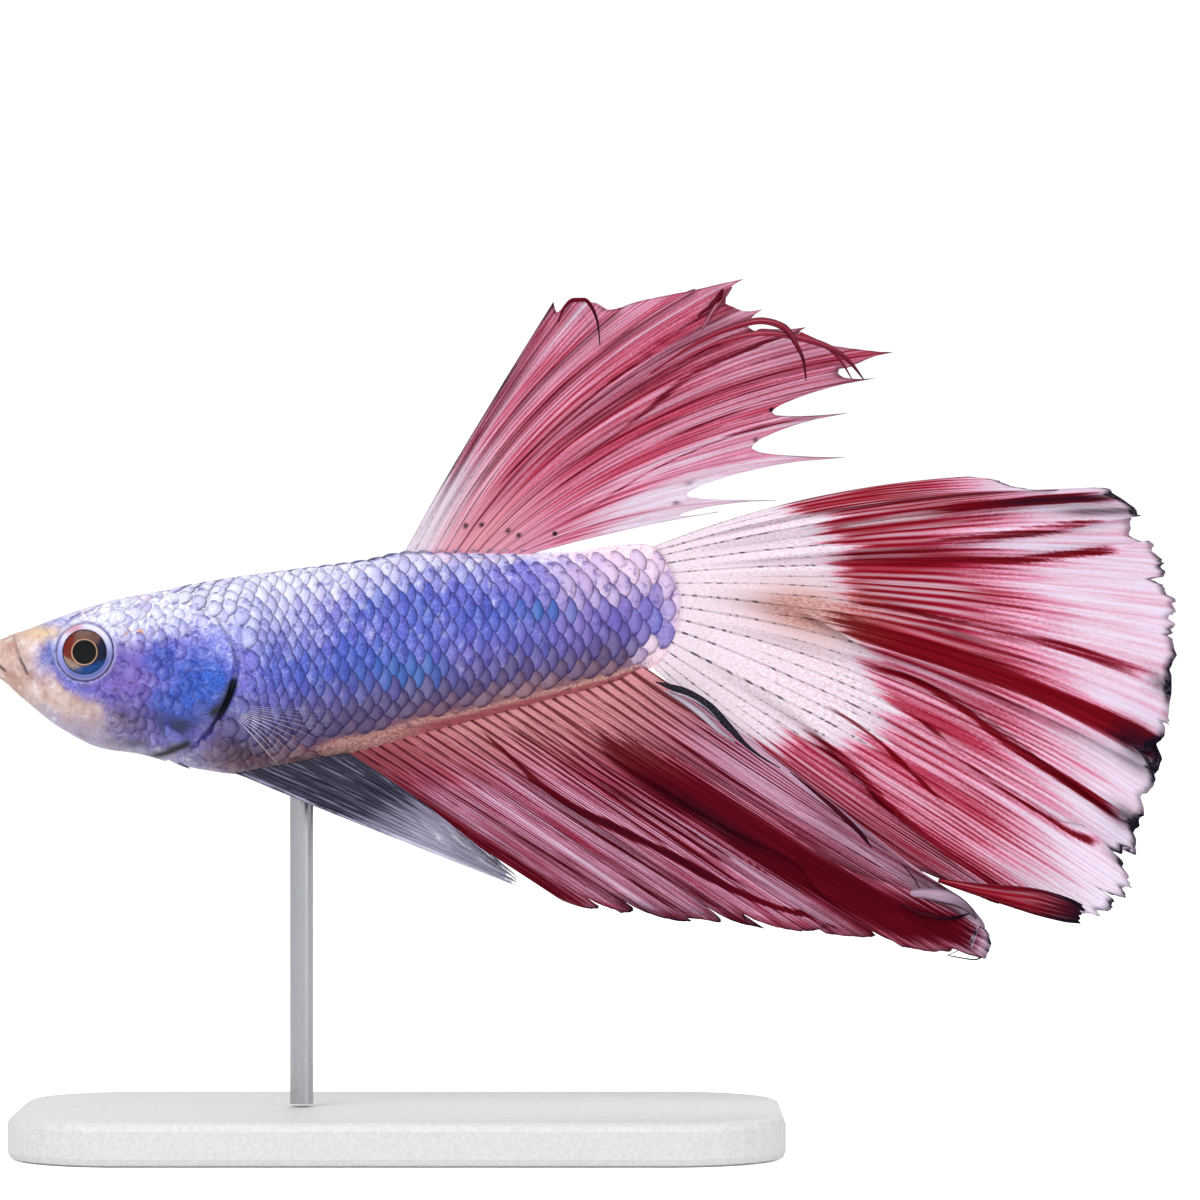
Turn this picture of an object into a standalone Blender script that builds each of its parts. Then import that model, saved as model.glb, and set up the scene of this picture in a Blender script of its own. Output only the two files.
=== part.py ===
"""Halfmoon betta fish, a still life-size model on a plain display stand.

The fish swims towards -X with its back up. Lengths are in millimetres measured from the tip of the
snout (x backwards, z upwards, y to the fish's right) and are moved to the row frame at the end: the
origin is the centre of the stand's underside, which rests on the floor.
"""

import math
from bisect import bisect_right

import bmesh
import bpy
from mathutils import Vector

MM = 0.001

# Driving dimensions, in millimetres.
GAP = 0.2
FIN_THICKNESS = 0.5
SNOUT_X = -25.5
SNOUT_HEIGHT = 29.7
GILL_X = 13.1
TAIL_CUT_X = 35.0
BODY_END_X = 41.3
EYE_X, EYE_Z, EYE_DEPTH = 6.8, 0.2, 1.95
EYE_RADIUS, EYE_BULGE = 1.5, 1.25
BASE_LENGTH, BASE_WIDTH, BASE_HEIGHT = 46.0, 26.0, 2.6
BASE_CORNER, BASE_EDGE = 7.0, 0.5
ROD_X, ROD_RADIUS = 19.6, 0.7

# Mesh fineness.
RING_POINTS = 28
FIN_ROWS = 7

# Body stations: distance from the snout, back, belly, half width, height of the widest level.
BODY_STATIONS = (
    (0.0, 0.25, -0.30, 0.50, 0.00),
    (0.6, 0.55, -0.70, 0.90, -0.05),
    (1.5, 0.95, -1.40, 1.30, -0.10),
    (2.7, 1.40, -2.50, 1.70, -0.15),
    (5.1, 2.30, -4.40, 2.30, -0.15),
    (7.5, 3.10, -5.60, 2.80, -0.30),
    (9.9, 3.70, -6.05, 3.20, -0.50),
    (13.5, 4.45, -7.05, 3.60, -0.80),
    (16.0, 4.85, -7.35, 3.65, -0.80),
    (19.6, 5.30, -6.65, 3.45, -0.40),
    (23.5, 5.80, -5.75, 3.20, 0.10),
    (26.0, 6.25, -5.10, 3.00, 0.50),
    (30.4, 6.30, -4.00, 2.55, 1.10),
    (35.0, 6.35, -2.80, 1.95, 1.90),
    (38.5, 6.75, -1.85, 1.40, 2.50),
    (40.0, 6.85, -1.10, 1.05, 2.80),
    (41.3, 6.60, -0.90, 0.55, 2.90),
)
# How sharply the back and the belly close to a ridge: 1 is an ellipse, less is broader.
RIDGE_STATIONS = (
    (0.0, 0.90, 0.90),
    (7.0, 0.80, 1.00),
    (14.0, 0.95, 1.00),
    (22.0, 1.10, 1.20),
    (30.0, 1.20, 1.45),
    (41.3, 1.25, 1.35),
)

# Each fin's rays from its leading to its trailing edge: share of the base, tip x, tip z and the
# angle in degrees at which the ray leaves the body.
DORSAL_RAYS = (
    (0 / 12, 34.6, 21.2, 61),
    (1 / 12, 36.6, 21.4, 63),
    (2 / 12, 39.9, 21.5, 66),
    (3 / 12, 43.5, 22.3, 64),
    (4 / 12, 46.1, 22.6, 62),
    (5 / 12, 47.4, 20.7, 58),
    (6 / 12, 50.0, 19.7, 54),
    (7 / 12, 55.2, 18.3, 48),
    (8 / 12, 54.2, 16.7, 43),
    (9 / 12, 52.6, 14.6, 38),
    (10 / 12, 52.4, 11.9, 32),
    (11 / 12, 48.2, 9.3, 25),
    (12 / 12, 44.6, 8.6, 16),
)
DORSAL_WEB_NOTCHES = (0.06, 0.05, 0.03, 0.03, 0.09, 0.07, 0.06, 0.10, 0.21, 0.25, 0.40, 0.28)
CAUDAL_RAYS = (
    (0.00, 60.6, 10.8, 22),
    (0.06, 64.6, 9.9, 18),
    (0.12, 68.0, 10.1, 15),
    (0.24, 71.7, 6.2, 7),
    (0.36, 72.9, 0.9, 0),
    (0.48, 71.7, -6.8, -6),
    (0.60, 70.4, -11.5, -16),
    (0.70, 69.6, -15.0, -25),
    (0.79, 66.9, -16.1, -33),
    (0.87, 62.6, -15.5, -39),
    (0.94, 58.8, -13.9, -43),
    (1.00, 55.0, -12.4, -45),
)
CAUDAL_WEB_NOTCHES = (0.03, 0.04, 0.06, 0.03, 0.02, 0.02, 0.03, 0.04, 0.03, 0.04, 0.02, 0.03, 0.03, 0.02)
ANAL_RAYS = (
    (0.00, 35.7, -15.1, -31),
    (0.15, 39.9, -15.7, -33),
    (0.30, 44.8, -16.3, -33),
    (0.45, 48.9, -16.6, -33),
    (0.55, 53.1, -17.1, -33),
    (0.65, 57.3, -17.9, -33),
    (0.75, 60.8, -18.4, -34),
    (0.84, 61.2, -16.9, -35),
    (0.92, 59.6, -14.9, -36),
    (1.00, 56.6, -13.1, -33),
)
ANAL_WEB_NOTCHES = (0.05, 0.03, 0.04, 0.03, 0.05, 0.03, 0.04, 0.03, 0.04, 0.03, 0.05, 0.04)
PECTORAL_RAYS = (
    (0.0, 22.6, -2.3, 4),
    (0.35, 22.4, -4.4, -14),
    (0.7, 20.9, -7.0, -36),
    (1.0, 19.0, -8.2, -60),
)
PELVIC_RAYS = (
    (0.0, 32.6, -13.8, -17),
    (0.5, 32.2, -13.3, -8),
    (1.0, 31.4, -12.9, 4),
)

# Folds of a fin: share of the base at the fold's middle, half width of the fold, height.
DORSAL_FOLDS = ((0.13, 0.05, 0.5), (0.42, 0.05, 0.7), (0.60, 0.05, -0.6))
CAUDAL_FOLDS = ((0.10, 0.04, 0.6), (0.30, 0.05, -0.5), (0.47, 0.05, 1.0), (0.63, 0.04, 0.7), (0.80, 0.04, 0.7))
ANAL_FOLDS = ((0.28, 0.05, 0.5), (0.52, 0.05, -0.6), (0.74, 0.05, 0.9))
# How far a fin's edge sways out of the fish's plane, by share of the base.
DORSAL_SWAY = ((0.0, 0.2), (0.3, -0.5), (0.7, 0.4), (1.0, -0.3))
CAUDAL_SWAY = ((0.0, -0.6), (0.35, 0.5), (0.7, 0.5), (1.0, 1.6))
ANAL_SWAY = ((0.0, 0.0), (0.4, -0.4), (0.75, -1.0), (1.0, -1.7))

BLUE_SCALES = (0.42, 0.42, 0.80, 1.0)
PALE_FLESH = (0.78, 0.60, 0.52, 1.0)
GILL_BLUE = (0.16, 0.30, 0.78, 1.0)
FIN_RED = (0.62, 0.10, 0.16, 1.0)
PELVIC_BLUE = (0.13, 0.15, 0.30, 1.0)
CLEAR_FIN = (0.80, 0.78, 0.88, 1.0)
EYE_BLACK = (0.02, 0.02, 0.04, 1.0)
STAND_GREY = (0.80, 0.80, 0.79, 1.0)
STEEL = (0.62, 0.63, 0.65, 1.0)


def clear_scene():
    for obj in list(bpy.data.objects):
        bpy.data.objects.remove(obj)


def material(name, colour, roughness, metallic=0.0):
    made = bpy.data.materials.new(name)
    made.use_nodes = True
    shader = made.node_tree.nodes["Principled BSDF"]
    shader.inputs["Base Color"].default_value = colour
    shader.inputs["Roughness"].default_value = roughness
    shader.inputs["Metallic"].default_value = metallic
    made.diffuse_color = colour
    return made


def through(stations, at, column):
    """The value in a column of the stations at a place, on a smooth curve that doesn't overshoot."""
    places = [row[0] for row in stations]
    last = len(stations) - 1
    at = min(max(at, places[0]), places[last])
    i = min(max(bisect_right(places, at) - 1, 0), last - 1)

    def slope(k):
        if k < 0 or k >= last:
            return None
        return (stations[k + 1][column] - stations[k][column]) / (places[k + 1] - places[k])

    def tangent(k):
        before, after = slope(k - 1), slope(k)
        if before is None or after is None:
            return after if before is None else before
        if before * after <= 0:
            return 0.0
        return 2 * before * after / (before + after)

    step = places[i + 1] - places[i]
    t = (at - places[i]) / step
    start, end = stations[i][column], stations[i + 1][column]
    lean = (2 * t**3 - 3 * t**2 + 1) * start + (3 * t**2 - 2 * t**3) * end
    return lean + (t**3 - 2 * t**2 + t) * step * tangent(i) + (t**3 - t**2) * step * tangent(i + 1)


def back_height(x):
    return through(BODY_STATIONS, x, 1)


def belly_height(x):
    return through(BODY_STATIONS, x, 2)


def spine_y(x):
    """The gentle sideways curve of the swimming fish."""
    return ((x - 18.0) / 25.0) ** 2 if x > 18.0 else 0.0


def gill_arc(turn):
    """How far behind the back the gill opening lies, round the body from the back to the belly."""
    return 2.8 * math.sin(turn) ** 2 - 1.7 * ((1 - math.cos(turn)) / 2) ** 3


def tail_arc(turn):
    """The scaled base of the tail fin ends in a rounded edge."""
    return 1.6 * math.sin(turn) ** 2


def body_point(x, turn):
    """A point on the body's surface; turn is 0 at the back, a quarter turn at the left flank."""
    at_gill = math.exp(-(((x - GILL_X) / 4.0) ** 2))
    at_tail = min(max((x - 36.0) / (BODY_END_X - 36.0), 0.0), 1.0) ** 2
    x += at_gill * gill_arc(turn) + at_tail * tail_arc(turn)
    back, belly = back_height(x), belly_height(x)
    half_width, widest = through(BODY_STATIONS, x, 3), through(BODY_STATIONS, x, 4)
    upper = math.cos(turn) >= 0
    ridge = through(RIDGE_STATIONS, x, 1 if upper else 2)
    side = math.copysign(abs(math.sin(turn)) ** ridge, math.sin(turn))
    height = widest + math.cos(turn) * (back - widest if upper else widest - belly)
    return Vector((x, spine_y(x) - half_width * side, height))


def add_object(name, mesh, colour):
    obj = bpy.data.objects.new(name, mesh)
    bpy.context.scene.collection.objects.link(obj)
    obj.data.materials.append(colour)
    mesh.shade_smooth()
    mesh.set_sharp_from_angle(angle=math.radians(40))
    return obj


def closed_mesh(name, work):
    """Turns the working mesh into a mesh whose faces all point outwards."""
    work.normal_update()
    bmesh.ops.recalc_face_normals(work, faces=work.faces)
    mesh = bpy.data.meshes.new(name)
    work.to_mesh(mesh)
    work.free()
    return mesh


def add_cutter(name, mesh):
    cutter = bpy.data.objects.new(name, mesh)
    bpy.context.scene.collection.objects.link(cutter)
    cutter.hide_render = True
    cutter.display_type = "WIRE"
    return cutter


def place(point):
    """From millimetres behind the snout to metres in the row frame."""
    return Vector(((point.x + SNOUT_X) * MM, point.y * MM, (point.z + SNOUT_HEIGHT) * MM))


def body_length(name, start, end, rings, colour):
    """A closed length of the body between two rings, its ends fanned from their middles."""
    work = bmesh.new()
    loops = []
    for k in range(rings + 1):
        x = start + (end - start) * k / rings
        turns = [2 * math.pi * i / RING_POINTS for i in range(RING_POINTS)]
        loops.append([work.verts.new(place(body_point(x, turn))) for turn in turns])
    for near, far in zip(loops, loops[1:]):
        for i in range(RING_POINTS):
            j = (i + 1) % RING_POINTS
            work.faces.new((near[i], near[j], far[j], far[i]))
    for loop in (loops[0], loops[-1]):
        middle = sum((v.co for v in loop), Vector()) / RING_POINTS
        hub = work.verts.new(middle)
        for i in range(RING_POINTS):
            work.faces.new((loop[i], loop[(i + 1) % RING_POINTS], hub))
    return add_object(name, closed_mesh(name, work), colour)


def block(name, outline, y_start, y_end):
    """A cutter: an outline in the fish's side view, extruded sideways."""
    work = bmesh.new()
    near = [work.verts.new(place(Vector((x, y_start, z)))) for x, z in outline]
    far = [work.verts.new(place(Vector((x, y_end, z)))) for x, z in outline]
    work.faces.new(near)
    work.faces.new(list(reversed(far)))
    for i in range(len(outline)):
        j = (i + 1) % len(outline)
        work.faces.new((near[i], far[i], far[j], near[j]))
    return add_cutter(name, closed_mesh(name, work))


def ball(name, centre, radii, segments=14, rings=8):
    """A squashed sphere whose poles lie on the y axis."""
    work = bmesh.new()
    bmesh.ops.create_uvsphere(work, u_segments=segments, v_segments=rings, radius=1.0)
    for vert in work.verts:
        x, y, z = vert.co
        vert.co = place(centre + Vector((x * radii[0], z * radii[1], -y * radii[2])))
    return closed_mesh(name, work)


def cut(obj, cutter, operation="DIFFERENCE"):
    modifier = obj.modifiers.new(f"{operation.lower()}_{cutter.name}", "BOOLEAN")
    modifier.operation = operation
    modifier.solver = "EXACT"
    modifier.object = cutter


def ellipse(x, z, length, height, count=20):
    turns = [2 * math.pi * i / count for i in range(count)]
    return [(x + length * math.cos(a), z + height * math.sin(a)) for a in turns]


def build_head(flesh, scales, gill_blue, eye_black):
    """The head with its lower jaw, gill covers and eyes as pieces of their own."""
    head = body_length("head", 0.0, GILL_X, 14, flesh)

    jaw = body_length("lower_jaw", 0.0, GILL_X, 14, flesh)
    jaw_line = [(-1.0, 0.0), (2.0, -0.75), (3.2, -1.9), (4.4, -5.0), (-1.0, -5.0)]
    mouth_slit = [(x + GAP, z + GAP * 0.7) for x, z in jaw_line[:4]]
    mouth_slit += [(4.4 + GAP, -6.0), (-2.0, -6.0), (-2.0, GAP)]
    cut(jaw, block("jaw_shape", jaw_line, -6.0, 6.0), "INTERSECT")
    cut(head, block("mouth_slit", mouth_slit, -6.5, 6.5))

    for side, sign in (("left", -1), ("right", 1)):
        cover = body_length(f"gill_cover_{side}", 3.0, GILL_X, 12, gill_blue)
        plate = ellipse(13.9, -1.3, 3.3, 4.7)
        bed = ellipse(13.9, -1.3, 3.3 + GAP, 4.7 + GAP)
        shape = block(f"gill_cover_shape_{side}", plate, sign * 2.2, sign * 8.0)
        cut(cover, shape, "INTERSECT")
        cut(head, block(f"gill_cover_bed_{side}", bed, sign * (2.2 - GAP), sign * 9.0))

        centre = Vector((EYE_X, sign * EYE_DEPTH, EYE_Z))
        radii = (EYE_RADIUS, EYE_BULGE, EYE_RADIUS)
        add_object(f"eye_{side}", ball(f"eye_{side}", centre, radii), eye_black)
        socket_radii = tuple(r + GAP for r in radii)
        cut(head, add_cutter(f"eye_socket_{side}", ball("eye_socket", centre, socket_radii)))

    body_length("trunk", GILL_X + GAP, TAIL_CUT_X, 14, scales)
    body_length("tail_base", TAIL_CUT_X + GAP, BODY_END_X, 7, scales)


def fold_shape(folds, share):
    """Across each fold the sheet crosses from one side to the other and eases back beyond it."""
    total = 0.0
    for middle, width, height in folds:
        t = (share - middle) / width
        total += height * math.tanh(1.6 * t) * math.exp(-((t / 2.6) ** 2))
    return total


def web_notch(notches, share, sharpness=0.55):
    """How far the web between two rays stops short of their tips."""
    along = min(max(share, 0.0), 1.0) * len(notches)
    i = min(int(along), len(notches) - 1)
    return notches[i] * math.sin(math.pi * (along - i)) ** sharpness if 0 < along - i < 1 else 0.0


def fan_point(rays, base_point, share, out):
    """A point of a fin in side view: out is 0 at the body and 1 at the ray's tip."""
    start = base_point(share)
    tip = Vector((through(rays, share, 1), 0.0, through(rays, share, 2)))
    angle = math.radians(through(rays, share, 3))
    reach = 0.5 * (tip - start).length
    bend = start + Vector((math.cos(angle), 0.0, math.sin(angle))) * reach
    return start * (1 - out) ** 2 + bend * (2 * out * (1 - out)) + tip * out**2


def fin_sheet(name, surface, columns, colour, rows=FIN_ROWS, thickness=FIN_THICKNESS):
    """A closed slab round a sheet surface(share, out), from the body (out 0) to the edge (out 1)."""
    step = 1e-3
    work = bmesh.new()
    sides = {1: [], -1: []}
    for c in range(columns + 1):
        share = c / columns
        lanes = {1: [], -1: []}
        for r in range(rows + 1):
            out = r / rows
            here = surface(share, out)
            across = surface(min(share + step, 1.0), out) - surface(max(share - step, 0.0), out)
            along = surface(share, min(out + step, 1.0)) - surface(share, max(out - step, 0.0))
            normal = across.cross(along).normalized()
            for side in lanes:
                lanes[side].append(work.verts.new(place(here + normal * side * thickness / 2)))
        for side in sides:
            sides[side].append(lanes[side])
    for lanes in sides.values():
        for a, b in zip(lanes, lanes[1:]):
            for r in range(rows):
                work.faces.new((a[r], b[r], b[r + 1], a[r + 1]))
    front, back = sides[1], sides[-1]
    for r in range(rows):
        for c in (0, columns):
            work.faces.new((front[c][r], front[c][r + 1], back[c][r + 1], back[c][r]))
    for c in range(columns):
        for r in (0, rows):
            work.faces.new((front[c][r], front[c + 1][r], back[c + 1][r], back[c][r]))
    return add_object(name, closed_mesh(name, work), colour)


def midline_fin(rays, notches, folds, sway, base_point):
    """The surface of a fin that stands in the fish's middle plane, with its folds and sway."""

    def surface(share, out):
        reach = out * (1 - web_notch(notches, share))
        point = fan_point(rays, base_point, share, reach)
        drape = fold_shape(folds, share) * min(reach * 1.6, 1.0)
        point.y = spine_y(point.x) + drape + through(sway, share, 1) * reach
        return point

    return surface


def dorsal_base(share):
    x = 25.6 + 7.4 * share
    return Vector((x, 0.0, back_height(x) + GAP))


def anal_base(share):
    x = 21.3 + 18.9 * share
    return Vector((x, 0.0, belly_height(x) - GAP))


def caudal_base(share):
    """Just behind the rounded end of the scaled tail base, from the back down to the belly."""
    turn = math.radians(12 + 156 * share)
    point = body_point(BODY_END_X, turn)
    return Vector((point.x + GAP, 0.0, point.z))


def build_midline_fins(fin_red):
    dorsal = midline_fin(DORSAL_RAYS, DORSAL_WEB_NOTCHES, DORSAL_FOLDS, DORSAL_SWAY, dorsal_base)
    caudal = midline_fin(CAUDAL_RAYS, CAUDAL_WEB_NOTCHES, CAUDAL_FOLDS, CAUDAL_SWAY, caudal_base)
    anal = midline_fin(ANAL_RAYS, ANAL_WEB_NOTCHES, ANAL_FOLDS, ANAL_SWAY, anal_base)
    fin_sheet("dorsal_fin", dorsal, 48, fin_red)
    fin_sheet("caudal_fin", caudal, 56, fin_red)
    fin_sheet("anal_fin", anal, 48, fin_red)


def build_paired_fins(clear_fin, pelvic_blue):
    for side, sign in (("left", -1), ("right", 1)):

        def pectoral_base(share):
            return Vector((16.6 - 0.2 * share, 0.0, -2.3 - 1.5 * share))

        def pectoral(share, out):
            point = fan_point(PECTORAL_RAYS, pectoral_base, share, out)
            flank = 4.05 - 0.25 * share + 0.35 * share * share
            point.y = sign * (flank + 1.9 * out - 0.5 * out * out)
            return point

        def pelvic_base(share):
            return Vector((15.9 + 1.6 * share, 0.0, -7.2 + 0.1 * share))

        def pelvic(share, out):
            point = fan_point(PELVIC_RAYS, pelvic_base, share, out)
            outward = 1.35 + 1.1 * math.sin(math.pi * 0.8 * out) + 0.25 * (1 - share)
            point.y = sign * outward + spine_y(point.x)
            if sign > 0:
                point.z -= 0.5 * math.sin(math.pi * out)
            return point

        fin_sheet(f"pectoral_fin_{side}", pectoral, 10, clear_fin, rows=5)
        fin_sheet(f"pelvic_fin_{side}", pelvic, 5, pelvic_blue, rows=12)


def build_stand(grey, steel):
    """A flat base with rounded corners, and one rod up to the belly between the pelvic fins."""
    work = bmesh.new()
    corners = []
    for k in range(32):
        turn = 2 * math.pi * (k + 0.5) / 32
        x = math.copysign(BASE_LENGTH / 2 - BASE_CORNER, math.cos(turn)) + BASE_CORNER * math.cos(turn)
        y = math.copysign(BASE_WIDTH / 2 - BASE_CORNER, math.sin(turn)) + BASE_CORNER * math.sin(turn)
        corners.append(work.verts.new((x * MM, y * MM, 0.0)))
    work.faces.new(corners)
    lifted = bmesh.ops.extrude_face_region(work, geom=list(work.faces))["geom"]
    top = [v for v in lifted if isinstance(v, bmesh.types.BMVert)]
    bmesh.ops.translate(work, verts=top, vec=(0.0, 0.0, BASE_HEIGHT * MM))
    base = add_object("stand_base", closed_mesh("stand_base", work), grey)
    rounding = base.modifiers.new("edge", "BEVEL")
    rounding.width = BASE_EDGE * MM
    rounding.segments = 2
    rounding.limit_method = "ANGLE"

    bottom = (BASE_HEIGHT + GAP) * MM
    top = (belly_height(ROD_X) + SNOUT_HEIGHT - GAP) * MM
    work = bmesh.new()
    bmesh.ops.create_cone(
        work,
        cap_ends=True,
        segments=20,
        radius1=ROD_RADIUS * MM,
        radius2=ROD_RADIUS * MM,
        depth=top - bottom,
    )
    rod = add_object("stand_rod", closed_mesh("stand_rod", work), steel)
    rod.location = ((ROD_X + SNOUT_X) * MM, 0.0, (top + bottom) / 2)


def main():
    clear_scene()
    flesh = material("pale_flesh", PALE_FLESH, 0.4)
    scales = material("blue_scales", BLUE_SCALES, 0.35)
    gill_blue = material("gill_blue", GILL_BLUE, 0.3)
    eye_black = material("eye_black", EYE_BLACK, 0.1)
    fin_red = material("fin_red", FIN_RED, 0.45)
    clear_fin = material("clear_fin", CLEAR_FIN, 0.4)
    pelvic_blue = material("pelvic_blue", PELVIC_BLUE, 0.45)
    build_head(flesh, scales, gill_blue, eye_black)
    build_midline_fins(fin_red)
    build_paired_fins(clear_fin, pelvic_blue)
    build_stand(material("stand_grey", STAND_GREY, 0.5), material("steel", STEEL, 0.25, 1.0))


main()
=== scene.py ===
"""Finish of a life-size halfmoon betta: one skin, a coat of scales, layered eyes, rayed fins, a stand.

The form classes work in millimetres from the tip of the snout: x runs back along the fish, y to its
right and z up. `to_row` takes those lengths to metres in the row frame.
"""

import logging
import math
from dataclasses import dataclass, field
from enum import Enum
from functools import reduce
from typing import Callable, Dict, List, Optional, Sequence, Tuple, Union

import bmesh
import bpy
import numpy as np
from mathutils import Matrix, Vector


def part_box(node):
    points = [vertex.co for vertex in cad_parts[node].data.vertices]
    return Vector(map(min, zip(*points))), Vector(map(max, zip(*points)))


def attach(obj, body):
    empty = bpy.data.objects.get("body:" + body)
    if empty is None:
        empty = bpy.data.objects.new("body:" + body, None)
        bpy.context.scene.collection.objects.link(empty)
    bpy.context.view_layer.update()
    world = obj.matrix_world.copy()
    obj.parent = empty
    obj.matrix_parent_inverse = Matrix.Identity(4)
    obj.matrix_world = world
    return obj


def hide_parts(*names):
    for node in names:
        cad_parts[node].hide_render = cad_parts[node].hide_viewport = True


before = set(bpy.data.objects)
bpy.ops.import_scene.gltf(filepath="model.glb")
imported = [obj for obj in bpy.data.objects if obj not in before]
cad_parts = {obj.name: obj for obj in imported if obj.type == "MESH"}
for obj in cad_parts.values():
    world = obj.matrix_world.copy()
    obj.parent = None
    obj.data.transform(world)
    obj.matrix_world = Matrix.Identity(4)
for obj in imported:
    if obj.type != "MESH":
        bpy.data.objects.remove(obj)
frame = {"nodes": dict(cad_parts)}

log = logging.getLogger("betta")

Array = np.ndarray
Number = Union[float, Array]
Colour = Tuple[float, float, float, float]
Socket = bpy.types.NodeSocket
Value = Union[float, Socket]
Piece = bpy.types.Object
Material = bpy.types.Material
Node = bpy.types.Node
Tree = bpy.types.NodeTree
Pairs = Sequence[Tuple[float, float]]
Rows = Sequence[Tuple[float, ...]]

MM = 0.001
WHITE: Colour = (1.0, 1.0, 1.0, 1.0)
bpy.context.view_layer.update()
SNOUT_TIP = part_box("head")[0].x / MM
EYE_LOW, EYE_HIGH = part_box("eye_left")
EYE_ABOVE_SNOUT = 0.2
SNOUT_HEIGHT = (EYE_LOW.z + EYE_HIGH.z) / 2 / MM - EYE_ABOVE_SNOUT
SNOUT = np.array((SNOUT_TIP, 0.0, SNOUT_HEIGHT))
EYE_X = (EYE_LOW.x + EYE_HIGH.x) / 2 / MM - SNOUT_TIP


class Side(Enum):
    """A side of the fish, valued by the sign of y there."""

    LEFT = -1
    RIGHT = 1


def to_row(points: Array) -> Array:
    """Points in millimetres from the snout, as metres in the row frame."""
    return (points + SNOUT) * MM


def rgb(code: str) -> Colour:
    """A colour code such as "c04050" as the linear colour that Blender's sockets take.

    Args:
        code: Six hexadecimal digits.

    Returns:
        Red, green and blue, and an alpha of 1.
    """
    channels = [int(code[i : i + 2], 16) / 255 for i in (0, 2, 4)]
    linear = [c / 12.92 if c <= 0.04045 else ((c + 0.055) / 1.055) ** 2.4 for c in channels]
    return (linear[0], linear[1], linear[2], 1.0)


def smooth_curve(stations: Rows, at: Number, column: int) -> Array:
    """Reads one column of a table of stations on a smooth curve that never overshoots.

    Args:
        stations: Rows whose first number is the place along the fish or fin.
        at: The places to read.
        column: Which number of the rows to read.

    Returns:
        The value at each place.
    """
    table = np.asarray(stations, float)
    places, values = table[:, 0], table[:, column]
    steps = np.diff(places)
    slopes = np.diff(values) / steps
    before, after = slopes[:-1], slopes[1:]
    agree = before * after > 0
    middle = np.where(agree, 2 * before * after / np.where(agree, before + after, 1.0), 0.0)
    tangents = np.concatenate(([slopes[0]], middle, [slopes[-1]]))
    at = np.clip(at, places[0], places[-1])
    i = np.clip(np.searchsorted(places, at, side="right") - 1, 0, len(steps) - 1)
    t = (at - places[i]) / steps[i]
    rise = 3 * t**2 - 2 * t**3
    lean = (t**3 - 2 * t**2 + t) * tangents[i] + (t**3 - t**2) * tangents[i + 1]
    return values[i] * (1 - rise) + values[i + 1] * rise + lean * steps[i]


def ease(low: Number, high: Number, value: Number) -> Array:
    """A smooth step from 0 where value is low to 1 where it is high."""
    t = unit((value - low) / (high - low))
    return t * t * (3 - 2 * t)


def fade(low: Number, high: Number, value: Number) -> Array:
    """A smooth step from 1 where value is low to 0 where it is high."""
    return 1 - ease(low, high, value)


def unit(value: Number) -> Array:
    """The value kept between 0 and 1."""
    return np.clip(value, 0.0, 1.0)


def bell(distance: Number, width: float = 1.0) -> Array:
    """A bump that is 1 at no distance and fades over the width."""
    return np.exp(-((distance / width) ** 2))


def ripple(value: Number, seed: float) -> Array:
    """An uneven wave from -1 to 1, made of three sines that never quite repeat.

    Args:
        value: Where to read it.
        seed: What makes this wave unlike the others.

    Returns:
        The wave's height there.
    """
    first = np.sin(value * 6.283 + seed * 5.1)
    second = np.sin(value * 14.7 + seed * 11.3 + 1.3 * first)
    return 0.5 * first + 0.3 * second + 0.2 * np.sin(value * 33.1 + seed * 3.7 + second)


def oval(x: Array, z: Array, spot: Sequence[float]) -> Array:
    """How far out a place lies in an oval: 1 is its edge.

    Args:
        x: Places behind the snout.
        z: Heights above the snout.
        spot: The oval's place, height, reach along and reach up.

    Returns:
        The share of the way from the middle to the edge.
    """
    return np.hypot((x - spot[0]) / spot[2], (z - spot[1]) / spot[3])


def line_distance(x: Array, z: Array, line: Pairs) -> Array:
    """How far each point of the side view lies from a line of straight stretches.

    Args:
        x: Places behind the snout.
        z: Heights above the snout.
        line: The line's corners.

    Returns:
        The distance of each point.
    """
    nearest = np.full(np.shape(x), np.inf)
    for (ax, az), (bx, bz) in zip(line, line[1:]):
        along = ((x - ax) * (bx - ax) + (z - az) * (bz - az)) / ((bx - ax) ** 2 + (bz - az) ** 2)
        along = unit(along)
        gap = np.hypot(x - ax - along * (bx - ax), z - az - along * (bz - az))
        nearest = np.minimum(nearest, gap)
    return nearest


# ---- Mesh helpers ----


def mesh_object(
    name: str, points: Array, faces: Sequence[Sequence[int]], smooth: bool = True
) -> Piece:
    """Makes an object whose place is in its mesh.

    Args:
        name: The piece's name.
        points: Its points in the row frame, in metres.
        faces: Its faces as point numbers.
        smooth: Whether it is shaded smooth.

    Returns:
        The new object, at the origin.
    """
    mesh = bpy.data.meshes.new(name)
    mesh.from_pydata([tuple(p) for p in points], [], [tuple(f) for f in faces])
    mesh.validate()
    if smooth:
        mesh.shade_smooth()
    made = bpy.data.objects.new(name, mesh)
    bpy.context.scene.collection.objects.link(made)
    return made


def grid_faces(rows: int, columns: int, closed: bool, start: int = 0) -> List[Tuple[int, int, int, int]]:
    """The faces of a grid of points numbered row by row.

    Args:
        rows: How many rows of points there are.
        columns: How many points a row holds.
        closed: Whether each row is a ring.
        start: The number of the first point.

    Returns:
        One face for each cell.
    """
    faces = []
    for r in range(rows - 1):
        for c in range(columns if closed else columns - 1):
            d = (c + 1) % columns
            low, high = start + r * columns, start + (r + 1) * columns
            faces.append((low + c, low + d, high + d, high + c))
    return faces


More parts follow.
